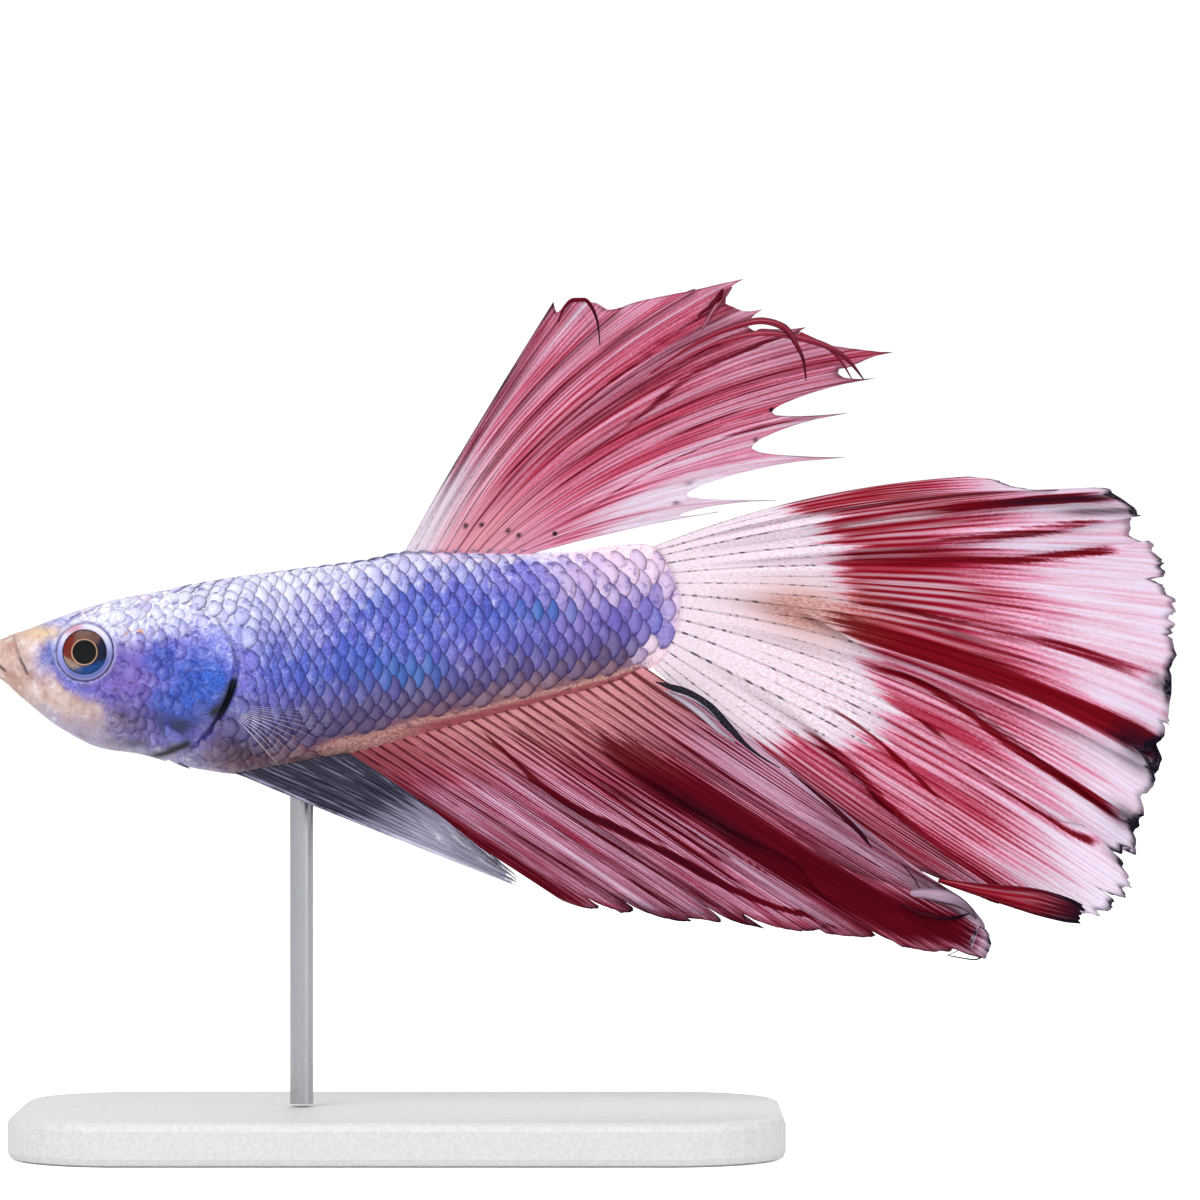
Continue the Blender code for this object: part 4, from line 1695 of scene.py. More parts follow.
@dataclass(frozen=True)
class PectoralZones(FinZones):
    """Clear, with rays that fade out before the edge."""

    def body(self, share: Array, out: Array) -> Array:
        """Thinning outwards."""
        lower = 0.35 + 0.65 * bell(share - 0.62, 0.25)
        return (1 - 0.95 * ease(0.25, 1.0, out)) * lower * ease(0.0, 0.03, share) * ease(0.0, 0.03, 1 - share)

    def ink(self, share: Array, out: Array) -> Array:
        """No ink."""
        return np.zeros_like(share)


@dataclass(frozen=True)
class CaudalZones(FinZones):
    """White at the root, crimson in the middle, fading to pink and lavender at the edge."""

    # Place across the fin, and how far out the white ends.
    white_end: Pairs = (
        (0.0, 0.38), (0.1, 0.37), (0.22, 0.34), (0.32, 0.325), (0.41, 0.31), (0.5, 0.36), (0.59, 0.41),
        (0.65, 0.44), (0.74, 0.37), (0.8, 0.31), (0.9, 0.3), (1.0, 0.28),
    )
    bands: Tuple[Tuple, ...] = (
        (
            ((0.25, 0.445, 0.03), (0.31, 0.443, 0.03), (0.37, 0.466, 0.031), (0.55, 0.468, 0.02),
             (0.73, 0.466, 0.016), (1.0, 0.467, 0.015)),
            0.3, 1.0, 1.0,
        ),
        (
            ((0.3, 0.385, 0.006), (0.41, 0.395, 0.006), (0.6, 0.402, 0.005), (1.0, 0.402, 0.004)),
            0.33, 0.97, 0.7,
        ),
        (
            ((0.4, 0.542, 0.008), (0.49, 0.537, 0.008), (0.58, 0.547, 0.008), (0.7, 0.571, 0.009),
             (1.0, 0.583, 0.008)),
            0.38, 0.96, 0.9,
        ),
        (
            ((0.33, 0.675, 0.005), (0.42, 0.687, 0.005), (0.5, 0.708, 0.005), (0.6, 0.737, 0.003)),
            0.34, 0.62, 0.85,
        ),
        (
            ((0.31, 0.76, 0.013), (0.43, 0.78, 0.012), (0.57, 0.815, 0.01), (0.72, 0.83, 0.01),
             (1.0, 0.84, 0.01)),
            0.32, 0.98, 0.8,
        ),
        (
            ((0.49, 0.603, 0.004), (0.6, 0.63, 0.005), (0.73, 0.652, 0.006), (0.84, 0.653, 0.006),
             (1.0, 0.62, 0.005)),
            0.48, 0.95, 0.6,
        ),
        (((0.3, 0.282, 0.008), (0.57, 0.277, 0.007), (1.0, 0.228, 0.007)), 0.33, 0.92, 0.7),
        (((0.44, 0.243, 0.008), (0.74, 0.213, 0.008), (1.0, 0.19, 0.007)), 0.46, 0.92, 0.6),
        (((0.3, 0.155, 0.007), (1.0, 0.15, 0.012)), 0.62, 0.97, 0.9),
        (((0.3, 0.9, 0.006), (1.0, 0.93, 0.008)), 0.36, 0.9, 0.6),
    )
    sectors: Pairs = (
        (0.0, 0.92), (0.12, 1.0), (0.38, 1.0), (0.45, 0.85), (0.52, 0.6), (0.62, 0.64), (0.72, 0.56),
        (0.8, 0.66), (1.0, 0.76),
    )
    fade_start: Pairs = (
        (0.0, 0.72), (0.1, 0.66), (0.18, 0.5), (0.4, 0.46), (0.5, 0.62), (0.6, 0.58), (0.8, 0.7),
        (1.0, 0.95),
    )
    fade_end: Pairs = (
        (0.0, 1.05), (0.1, 0.95), (0.2, 0.8), (0.4, 0.84), (0.5, 0.95), (0.6, 0.92), (0.8, 0.99),
        (1.0, 1.3),
    )
    # Smoky ends of pleats: place across the fin, width, where it starts and is full.
    smoke: Rows = (
        (0.153, 0.009, 0.66, 0.8), (0.095, 0.03, 0.93, 1.0), (0.18, 0.008, 0.78, 0.9),
        (0.475, 0.022, 0.88, 0.96), (0.408, 0.01, 0.92, 0.99), (0.575, 0.016, 0.9, 0.98),
        (0.64, 0.012, 0.93, 1.0), (0.84, 0.03, 0.93, 1.0),
    )

    def border(self, share: Array) -> Array:
        """Where the white root ends, ray by ray."""
        uneven = 0.03 * ripple(share * 8.0, 0.4) + 0.035 * ripple(share * 31.0, 1.4)
        return smooth_curve(self.white_end, share, 1) + uneven

    def red(self, share: Array, out: Array) -> Array:
        """Crimson outside the white root, fading towards the edge.

        Args:
            share: Place across the fin, from its leading ray to its last.
            out: Place along the ray, from the body to the edge.

        Returns:
            The share at each place, from 0 to 1.
        """
        rises = ease(-0.02, 0.05, out - self.border(share))
        jitter = 0.07 * ripple(share * 11.0, 2.2)
        start, end = smooth_curve(self.fade_start, share, 1), smooth_curve(self.fade_end, share, 1)
        fades = ease(start, end, out + jitter)
        sector = smooth_curve(self.sectors, share, 1) + 0.08 * ripple(share * 7.0 + out, 0.7)
        return rises * sector * (1 - 0.86 * fades) + 0.03 * (1 - rises)

    def cream(self, share: Array, out: Array) -> Array:
        """The white root, and a pale streak along a ray of the upper lobe."""
        streak = 0.8 * bell(share - 0.165, 0.006) * ease(0.36, 0.42, out) * fade(0.5, 0.66, out)
        return np.maximum(1 - ease(-0.04, 0.04, out - self.border(share)), streak)

    def ink(self, share: Array, out: Array) -> Array:
        """The torn edge, the smoky ends of the pleats and the rolled lower edge.

        Args:
            share: Place across the fin, from its leading ray to its last.
            out: Place along the ray, from the body to the edge.

        Returns:
            The share at each place, from 0 to 1.
        """
        edge = FinZones.ink(self, share, out)
        smoke = np.zeros_like(share)
        for at, width, start, end in self.smoke:
            smoke = np.maximum(smoke, 0.9 * bell(share - at, width) * ease(start, end, out))
        roll = 0.75 * ease(0.9, 0.96, out) * ease(0.8, 0.86, share) * (1 - 0.6 * ease(0.93, 1.0, share))
        return unit(edge + smoke + roll)

    def tan(self, share: Array, out: Array) -> Array:
        """A brown patch where the middle rays leave the white."""
        return np.clip(1.1 * bell(share - 0.44, 0.08) * bell(out - 0.25, 0.11), 0, 0.85)


@dataclass(frozen=True)
class DorsalZones(FinZones):
    """Whitish at the base and the rear edge, rose and crimson in the middle."""

    bands: Tuple[Tuple, ...] = (
        (((0.0, 0.02, 0.012), (1.0, 0.02, 0.006)), 0.3, 0.97, 0.45),
        (((0.0, 0.17, 0.005), (1.0, 0.14, 0.006)), 0.25, 0.97, 0.45),
        (((0.0, 0.27, 0.005), (1.0, 0.25, 0.006)), 0.2, 0.85, 0.4),
        (((0.0, 0.37, 0.005), (0.5, 0.4, 0.006), (1.0, 0.37, 0.006)), 0.2, 0.98, 0.5),
        (
            ((0.0, 0.55, 0.004), (0.22, 0.555, 0.005), (0.37, 0.568, 0.006), (0.55, 0.547, 0.006),
             (0.71, 0.517, 0.007), (0.93, 0.502, 0.006)),
            0.25, 0.97, 0.65,
        ),
        (((0.0, 0.47, 0.003), (0.5, 0.47, 0.008), (1.0, 0.45, 0.006)), 0.3, 0.97, 0.6),
        (((0.0, 0.62, 0.005), (1.0, 0.62, 0.005)), 0.25, 0.95, 0.55),
        (((0.0, 0.69, 0.004), (1.0, 0.675, 0.005)), 0.3, 1.0, 0.5),
        (
            ((0.3, 0.827, 0.005), (0.43, 0.808, 0.006), (0.61, 0.773, 0.006), (0.77, 0.747, 0.005),
             (1.0, 0.74, 0.004)),
            0.22, 1.0, 0.55,
        ),
    )
    # Place behind the snout and height of the black dots.
    dots: Pairs = (
        (29.44, 7.76), (30.39, 7.82), (31.97, 7.46), (32.62, 7.18), (34.78, 7.28), (42.88, 10.35),
        (42.08, 9.12), (47.82, 14.78), (46.86, 12.96), (50.52, 14.41),
    )

    def red(self, share: Array, out: Array) -> Array:
        """Rose with crimson streaks along some rays.

        Args:
            share: Place across the fin, from its leading ray to its last.
            out: Place along the ray, from the body to the edge.

        Returns:
            The share at each place, from 0 to 1.
        """
        body = 0.33 + 0.12 * ease(0.05, 0.35, out) + 0.16 * bell(share - 0.5, 0.25) * bell(out - 0.45, 0.35)
        streak = 0.22 * ripple(share * 9.0 + 0.25 * out, 0.9) * ease(0.1, 0.35, out)
        streak = streak + 0.14 * ripple(share * 26.0, 0.4)
        rear = 1 - 0.72 * ease(0.68, 0.9, share) * ease(0.25, 0.7, out)
        front = 1 - 0.75 * fade(0.1, 0.32, share) * fade(0.2, 0.5, out)
        return unit((body + streak) * rear * front)

    def cream(self, share: Array, out: Array) -> Array:
        """Pale streaks between the first rays."""
        streak = 0.35 + 0.6 * unit(ripple(share * 16.0, 2.4) * 1.4)
        return streak * fade(0.2, 0.46, out) * fade(0.2, 0.45, share) * ease(0.0, 0.03, out)

    def tan(self, share: Array, out: Array) -> Array:
        """A salmon blush at the base of the middle rays."""
        return 0.5 * fade(0.05, 0.3, out) * bell(share - 0.55, 0.25)

    def ink(self, share: Array, out: Array) -> Array:
        """The dark leading edge, the torn tips and a few black dots by the base.

        Args:
            share: Place across the fin, from its leading ray to its last.
            out: Place along the ray, from the body to the edge.

        Returns:
            The share at each place, from 0 to 1.
        """
        long = ease(0.78, 0.92, DORSAL.reach(share))
        edge = 0.6 * FinZones.ink(self, share, out) * (0.25 + 0.75 * long)
        edge = edge * (1 - 0.8 * bell(share - 0.38, 0.05))
        front = 0.7 * fade(0.0, 0.02, share) * ease(0.1, 0.3, out)
        grey = unit(0.6 + 0.6 * ripple(share * 30.0 + 3.0 * out, 1.2))
        leading = 0.4 * grey * fade(0.04, 0.13, share) * ease(0.22, 0.34, out)
        front += leading * fade(0.7, 0.85, out)
        tips = 0.15 * bell(share - 0.375, 0.02) * ease(0.86, 0.96, out)
        spikes = 0.55 * ease(0.93, 1.0, out) * ease(0.6, 0.72, share) * long
        here = DORSAL.fan(share, out * DORSAL.reach(share))
        dots = sum(1 - ease(0.09, 0.22, np.hypot(here[..., 0] - x, here[..., 1] - z)) for x, z in self.dots)
        return unit(edge + front + tips + spikes + dots)


@dataclass(frozen=True)
class AnalZones(FinZones):
    """Salmon at the base, pink outside it, nearly black in the broad pleat."""

    # Place across the fin, and how red it is there.
    stain: Pairs = (
        (0.0, 0.95), (0.06, 0.72), (0.12, 0.46), (0.2, 0.4), (0.3, 0.46), (0.4, 0.52), (0.5, 0.4),
        (0.57, 0.46), (0.62, 0.9), (0.76, 0.95), (0.82, 0.52), (0.88, 0.32), (0.94, 0.34), (1.0, 0.38),
    )
    bands: Tuple[Tuple, ...] = (
        (
            ((0.0, 0.72, 0.02), (0.1, 0.715, 0.035), (0.2, 0.69, 0.055), (0.3, 0.684, 0.083),
             (0.42, 0.681, 0.088), (0.5, 0.697, 0.082), (0.61, 0.684, 0.09), (0.72, 0.682, 0.105),
             (0.8, 0.7, 0.112), (0.9, 0.73, 0.12), (1.0, 0.75, 0.1)),
            0.14, 0.97, 1.0,
        ),
        (
            ((0.06, 0.43, 0.004), (0.2, 0.4, 0.008), (0.3, 0.378, 0.012), (0.41, 0.375, 0.017),
             (0.51, 0.395, 0.022), (0.58, 0.412, 0.024), (0.67, 0.437, 0.024), (0.78, 0.452, 0.02),
             (0.86, 0.477, 0.016), (0.95, 0.53, 0.012)),
            0.06, 0.98, 1.0,
        ),
        (((0.0, 0.01, 0.025), (0.5, 0.012, 0.035), (1.0, 0.02, 0.045)), 0.04, 0.98, 0.75),
        (((0.0, 0.62, 0.005), (0.3, 0.575, 0.006), (1.0, 0.57, 0.004)), 0.05, 0.75, 0.85),
        (((0.0, 0.585, 0.005), (0.3, 0.555, 0.006), (1.0, 0.54, 0.004)), 0.05, 0.65, 0.85),
        (((0.0, 0.55, 0.005), (0.3, 0.53, 0.006), (1.0, 0.51, 0.004)), 0.05, 0.7, 0.85),
        (((0.0, 0.51, 0.005), (0.3, 0.5, 0.007), (1.0, 0.485, 0.004)), 0.06, 0.8, 0.85),
        (((0.0, 0.475, 0.004), (0.3, 0.465, 0.006), (0.6, 0.458, 0.004)), 0.06, 0.62, 0.8),
        (((0.0, 0.15, 0.004), (0.5, 0.15, 0.006), (1.0, 0.16, 0.008)), 0.2, 0.97, 0.5),
        (((0.0, 0.66, 0.005), (0.3, 0.64, 0.006)), 0.04, 0.35, 0.85),
        (((0.0, 0.7, 0.005), (0.3, 0.69, 0.006)), 0.04, 0.35, 0.85),
        (((0.0, 0.745, 0.004), (0.3, 0.75, 0.006)), 0.05, 0.35, 0.7),
        (((0.0, 0.34, 0.004), (0.5, 0.33, 0.007), (1.0, 0.36, 0.01)), 0.25, 0.95, 0.6),
        (((0.0, 0.24, 0.004), (0.5, 0.235, 0.006), (1.0, 0.26, 0.012)), 0.35, 0.97, 0.55),
        (((0.0, 0.86, 0.006), (0.4, 0.845, 0.008), (1.0, 0.86, 0.004)), 0.15, 0.75, 0.6),
        (((0.0, 0.94, 0.006), (0.5, 0.95, 0.007), (1.0, 0.94, 0.004)), 0.2, 0.85, 0.55),
    )

    def red(self, share: Array, out: Array) -> Array:
        """Pink with crimson streaks, crimson along the broad pleat.

        Args:
            share: Place across the fin, from its leading ray to its last.
            out: Place along the ray, from the body to the edge.

        Returns:
            The share at each place, from 0 to 1.
        """
        body = smooth_curve(self.stain, share, 1) + 0.2 * ripple(share * 9.0 + 0.3 * out, 3.3)
        body = body + 0.12 * ripple(share * 23.0, 1.3)
        body = body + 0.45 * bell(share - 0.53, 0.07) * fade(0.35, 0.6, out)
        near = 0.52 + 0.24 * fade(0.15, 0.45, share) + 0.15 * ripple(share * 20.0, 0.2)
        tip = 0.8 * bell(share - 0.8, 0.09) * ease(0.86, 0.95, out)
        rim = 0.35 * ease(0.93, 0.98, out) * fade(0.55, 0.65, share)
        return unit(near + (body - near) * ease(0.08, 0.4, out) - tip + rim)

    def ink(self, share: Array, out: Array) -> Array:
        """The black of the pleats and of the curled tip.

        Args:
            share: Place across the fin, from its leading ray to its last.
            out: Place along the ray, from the body to the edge.

        Returns:
            The share at each place, from 0 to 1.
        """
        edge = 0.8 * FinZones.ink(self, share, out)
        pleat = 0.6 * bell(share - 0.64, 0.035) * ease(0.24, 0.4, out) * fade(0.5, 0.72, out)
        second = 0.55 * bell(share - smooth_curve(self.bands[1][0], out, 1), 0.012)
        second = second * ease(0.3, 0.5, out) * fade(0.72, 0.85, out)
        streaks = unit(0.3 + 0.9 * ripple(share * 40, 0.6))
        tip = 0.55 * bell(share - 0.8, 0.09) * ease(0.9, 1.0, out) * streaks
        webs = 0.6 * ease(0.86, 0.96, out) * (bell(share - 0.2, 0.07) + 0.6 * bell(share - 0.33, 0.04))
        return unit(edge + pleat + second + tip + webs)

    def tan(self, share: Array, out: Array) -> Array:
        """Salmon at the base."""
        return 0.75 * (0.35 + 0.65 * ease(0.12, 0.45, share)) * fade(0.04, 0.34, out)


@dataclass(frozen=True)
class PelvicZones(FinZones):
    """Blue black near the body, translucent towards the tip."""

    def ink(self, share: Array, out: Array) -> Array:
        """Dark, in streaks, fading out.

        Args:
            share: Place across the fin, from its leading ray to its last.
            out: Place along the ray, from the body to the edge.

        Returns:
            The share at each place, from 0 to 1.
        """
        streaks = 0.95 + 0.3 * ripple(share * 5.0 + 1.5 * out, 0.5) + 0.35 * ripple(share * 15.0 + out, 0.2)
        pale_edge = 0.75 * fade(0.02, 0.1, share) * (0.6 + 0.4 * ripple(out * 6.0, 1.0))
        hairs = 0.55 * ease(0.45, 0.6, out) * unit(1.8 * ripple(share * 14.0 + 0.8 * out, 3.0))
        return unit(streaks * (1.25 - 1.18 * ease(0.33, 0.66, out)) - pale_edge + hairs)

    def body(self, share: Array, out: Array) -> Array:
        """Solid, but for a few torn windows near the tip."""
        torn = ease(0.1, 0.5, ripple(share * 3.0 + out * 5.0, 0.9)) * ease(0.5, 0.66, out)
        return (1 - 0.25 * ease(0.4, 0.7, out)) * (1 - 0.75 * torn * ease(0.08, 0.2, share))


@dataclass(frozen=True)
class FinFinish:
    """A thin membrane on branching rays: how clear it is, and how its rays are drawn."""

    name: str
    rays: Tree
    ray_count: float
    ray_width: float = 0.05
    branch_start: float = 0.12
    clear_alpha: float = 0.42
    red_alpha: float = 1.2
    cream_alpha: float = 1.05
    ray_alpha: float = 0.3
    grain_alpha: float = 0.2
    lavender: Colour = rgb("eadcf2")
    cream: Colour = rgb("ebdfea")
    pink: Colour = rgb("e08cac")
    crimson: Colour = rgb("b23250")
    deep: Colour = rgb("98142a")
    dark_red: Colour = rgb("62030e")
    tan: Colour = rgb("a4604e")
    tan_grain: Colour = rgb("d9a79c")
    cream_grain: Colour = rgb("d8b8c6")
    dots: Colour = rgb("2c2034")
    ink: Colour = rgb("0c0a1a")
    line_strength: float = 0.75
    gap_strength: float = 0.45
    streak: float = 0.4
    mottle: float = 0.6
    ink_streak: float = 0.0
    fine_lines: float = 0.0

    def make(self) -> Material:
        """Builds the fin's material.

        Returns:
            The material.
        """
        made, graph, shader = new_material(self.name)
        made.surface_render_method = "BLENDED"
        pattern = graph.use(
            self.rays,
            Ray_Count=self.ray_count,
            Ray_Width=self.ray_width,
            Branch_Start=self.branch_start,
            Fine_Lines=self.fine_lines,
        )
        keys = ("Line", "Gap", "Strand", "Dots", "Weave")
        line, gap, strand, dots, weave = (pattern.outputs[key] for key in keys)
        red, cream, ink, tan, dark = (graph.kept(key) for key in ("red", "cream", "ink", "tan", "dark"))

        loose = graph.times(graph.times(red, graph.maths("SUBTRACT", 1.05, red)), 3.6)
        streak = graph.times(graph.centred(strand), self.streak)
        swing = graph.scaled(graph.centred(weave), self.mottle, streak)
        stained = graph.scaled(loose, swing, red, clamp=True)
        colour = graph.mix(graph.window(stained, 0.0, 0.38), self.lavender, self.pink)
        colour = graph.mix(graph.window(stained, 0.34, 0.7), colour, self.crimson)
        colour = graph.mix(graph.window(stained, 0.64, 0.96), colour, self.deep)
        pale = graph.times(gap, self.gap_strength, graph.window(dark, 1.0, 0.0))
        colour = graph.mix(pale, colour, self.lavender)
        speckled = graph.mix(graph.window(weave, 0.44, 0.66), self.cream, self.cream_grain)
        colour = graph.mix(cream, colour, speckled)
        grains = graph.mix(graph.window(weave, 0.4, 0.62), self.tan, self.tan_grain)
        colour = graph.mix(tan, colour, grains)
        in_red = graph.times(line, graph.window(red, 0.02, 0.5))
        colour = graph.mix(graph.times(in_red, self.line_strength), colour, self.dark_red)
        torn = graph.times(graph.times(dark, graph.maths("SUBTRACT", 1.05, dark)), 3.0)
        torn = graph.scaled(torn, graph.centred(strand), dark, clamp=True)
        shade = graph.times(graph.window(torn, 0.12, 0.8), graph.window(strand, 0.1, 0.9, 0.7, 0.95))
        colour = graph.mix(shade, colour, self.dark_red)
        dotted = graph.scaled(dots, 0.6, 0.3)
        in_cream = graph.times(graph.times(line, cream), dotted)
        colour = graph.mix(in_cream, colour, self.dots)
        smoke = graph.times(ink, graph.window(weave, 0.3, 0.6, 0.93, 1.0))
        smoke = graph.times(smoke, graph.window(strand, 0.2, 0.75, 1.0 - self.ink_streak, 1.0))
        colour = graph.mix(smoke, colour, self.ink)

        solid = graph.maths("MAXIMUM", smoke, dark)
        alpha = graph.window(red, 0.0, 0.6, self.clear_alpha, self.red_alpha)
        alpha = graph.maths("MAXIMUM", alpha, graph.times(cream, self.cream_alpha))
        alpha = graph.scaled(line, self.ray_alpha, alpha)
        alpha = graph.scaled(solid, 1.3, alpha)
        alpha = graph.scaled(graph.centred(weave), self.grain_alpha, alpha, clamp=True)
        alpha = graph.times(alpha, graph.kept("body"))
        relief = graph.scaled(line, 0.6, graph.times(weave, 0.3))
        graph.fill(
            shader,
            Base_Color=colour,
            Alpha=alpha,
            Roughness=0.5,
            Normal=graph.bump(relief, 0.04 * MM),
            Specular_IOR_Level=0.02,
        )
        return made


def ray_group() -> Tree:
    """Builds the pattern of branching rays that every fin's material uses.

    Returns:
        A group that reads the fin's own map, across and out, and gives the ray lines, the soft strands
        between them, the dots along them and the membrane's weave.
    """
    graph, given, result = new_group(
        "Branching Rays",
        {"Ray Count": "Float", "Ray Width": "Float", "Branch Start": "Float", "Fine Lines": "Float"},
        {"Line": "Float", "Gap": "Float", "Strand": "Float", "Dots": "Float", "Weave": "Float"},
    )
    across, out, _ = graph.split(graph.add("ShaderNodeUVMap", uv_map="fan").outputs[0], "XYZ")

    def stretched(wide: float, long: float) -> Socket:
        """The fan's map stretched so that noise on it runs along the rays."""
        joined = graph.add("ShaderNodeCombineXYZ")
        return graph.fill(joined, X=graph.times(across, wide), Y=graph.times(out, long)).outputs[0]

    wobble = graph.centred(graph.noise(1.0, 2.0, stretched(9.0, 2.2)))
    bent = graph.scaled(wobble, 0.022, across)

    def lines(times: float, low: Value, high: Value, shift: float = 0.0) -> Socket:
        """Lines at a multiple of the ray count: 0 between rays and 1 on them.

        Args:
            times: The multiple of the ray count.
            low: How far from mid-way between two lines a line starts to show.
            high: How far from there it is full.
            shift: How far the lines are moved across, in spacings.

        Returns:
            The lines.
        """
        place = graph.scaled(bent, graph.times(given.outputs["Ray Count"], times), shift)
        saw = graph.maths("ABSOLUTE", graph.centred(graph.maths("FRACT", place)))
        return graph.window(saw, low, high)

    def past(extra: float, width: float) -> Socket:
        """How far a branching that starts some way out has spread."""
        start = graph.plus(given.outputs["Branch Start"], extra)
        return graph.window(out, start, graph.plus(start, width))

    def strongest(values: Sequence[Socket]) -> Socket:
        """The largest of some values."""
        return reduce(lambda first, second: graph.maths("MAXIMUM", first, second), values)

    spread = (past(0.0, 0.14), past(0.14, 0.16), past(0.4, 0.2))
    width = graph.times(given.outputs["Ray Width"], graph.window(out, 0.0, 0.45, 1.5, 0.55))
    half = graph.scaled(width, -1.2, 0.5)
    edge = graph.scaled(width, -0.7, 0.5)
    marks = [lines(1.0, half, edge)]
    marks += [
        graph.times(lines(times, low, 0.475), graph.times(way, weight))
        for way, (times, low, weight) in zip(spread, ((2.0, 0.39, 0.9), (4.0, 0.32, 0.75), (8.0, 0.24, 0.65)))
    ]
    inner = graph.times(lines(4.0, 0.3, 0.46, 0.2), graph.window(out, 0.02, 0.07))
    marks.append(graph.times(inner, given.outputs["Fine Lines"]))
    broken = graph.window(graph.noise(1.0, 2.0, stretched(60.0, 9.0)), 0.28, 0.5, 0.35, 1.0)
    line = graph.times(strongest(marks), broken)
    between = graph.rest(lines(4.0, 0.06, 0.34))
    fine = graph.rest(lines(8.0, 0.04, 0.3))
    third = graph.times(between, graph.times(spread[1], graph.rest(spread[2])))
    beside = graph.times(lines(1.0, 0.45, 0.49, 0.3), graph.window(out, 0.06, 0.2))
    chosen = strongest((third, graph.times(fine, spread[2]), beside))
    patchy = graph.window(graph.noise(1.0, 2.0, stretched(26.0, 3.0)), 0.35, 0.65, 0.1, 1.0)
    gap = graph.times(chosen, patchy)
    streaks = graph.noise(1.0, 3.0, stretched(90.0, 2.4))
    fine_streaks = graph.noise(1.0, 2.0, stretched(240.0, 5.0))
    strand = graph.plus(graph.times(streaks, 0.65), graph.times(fine_streaks, 0.35))
    strand = graph.window(strand, 0.36, 0.64)
    dots = graph.window(graph.noise(1.0, 1.0, stretched(16.0, 80.0)), 0.54, 0.6)
    weave = graph.noise(1.0, 2.0, stretched(300.0, 110.0), 0.7)
    graph.fill(result, Line=line, Gap=gap, Strand=strand, Dots=dots, Weave=weave)
    return graph.tree


@dataclass
class Fin:
    """A fin: a thin closed sheet on its form, with its zones kept on it."""

    form: FinForm
    zones: FinZones
    slot: str

    def build(self, finish: Material) -> Piece:
        """Builds the fin.

        Args:
            finish: Its material.

        Returns:
            The finished piece.
        """
        form = self.form
        rows = 1 - (1 - np.linspace(0, 1, form.rows + 1)) ** 1.15
        share, out = np.meshgrid(np.linspace(0, 1, form.columns + 1), rows, indexing="ij")
        small = 1e-3
        middle = form.surface(share, out)
        across, along = (
            form.surface(unit(share + a), unit(out + b))
            - form.surface(unit(share - a), unit(out - b))
            for a, b in ((small, 0.0), (0.0, small))
        )
        normal = np.cross(across, along)
        normal /= np.linalg.norm(normal, axis=-1, keepdims=True) + 1e-12
        half = form.thickness / 2 * (1.15 - 0.7 * ease(0.0, 0.8, out))
        half = (half + form.root * fade(0.0, 0.1, out))[..., None]
        sheets = [(middle + normal * half * way).reshape(-1, 3) for way in (1, -1)]
        faces = slab_faces(form.columns + 1, form.rows + 1)
        piece = mesh_object(form.name, to_row(np.concatenate(sheets)), faces)
        face_outwards(piece)
        self.keep(piece, share, out)
        piece.data.materials.append(finish)
        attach(piece, "root")
        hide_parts(form.name.replace("_membrane", ""))
        return piece

    def keep(self, piece: Piece, share: Array, out: Array) -> None:
        """Stores the fin's map and the shares of its colours on both faces of the sheet.

        Args:
            piece: The fin's sheet.
            share: Each point's place across the fin.
            out: Each point's place along the ray.
        """
        share, _, dark = self.form.folded(share, out)
        share = unit(share)
        red, band = self.zones.red(share, out), self.zones.dark(share, out)
        shares = {
            "red": np.maximum(red, band),
            "cream": self.zones.cream(share, out) * (1 - band),
            "ink": self.zones.ink(share, out),
            "tan": self.zones.tan(share, out),
            "dark": np.maximum(0.35 * dark * ease(0.35, 0.85, red), band),
            "body": self.zones.body(share, out),
        }
        for name, values in shares.items():
            store(piece, name, unit(np.tile(np.broadcast_to(values, share.shape).ravel(), 2)))
        store_map(piece, "fan", np.tile(np.stack((share.ravel(), out.ravel()), -1), (2, 1)))


def dorsal_base(share: Array) -> Array:
    """The line where the dorsal fin meets the back."""
    x = 25.6 + 7.4 * share
    return np.stack((x, BODY.back(x) - 0.35), -1)


def anal_base(share: Array) -> Array:
    """The line where the anal fin meets the belly."""
    x = 21.3 + 18.9 * share
    return np.stack((x, BODY.belly(x) + 0.3), -1)


def caudal_base(share: Array) -> Array:
    """The line where the tail fin grows out of the rounded tail root.

    Args:
        share: Place across the fin, from its leading ray to its last.

    Returns:
        The x and z of each point.
    """
    turn = np.radians(12 + 156 * share)
    point = BODY.point(np.full_like(share, BODY.end_x), turn)
    return np.stack((point[..., 0] - 0.6, point[..., 2]), -1)


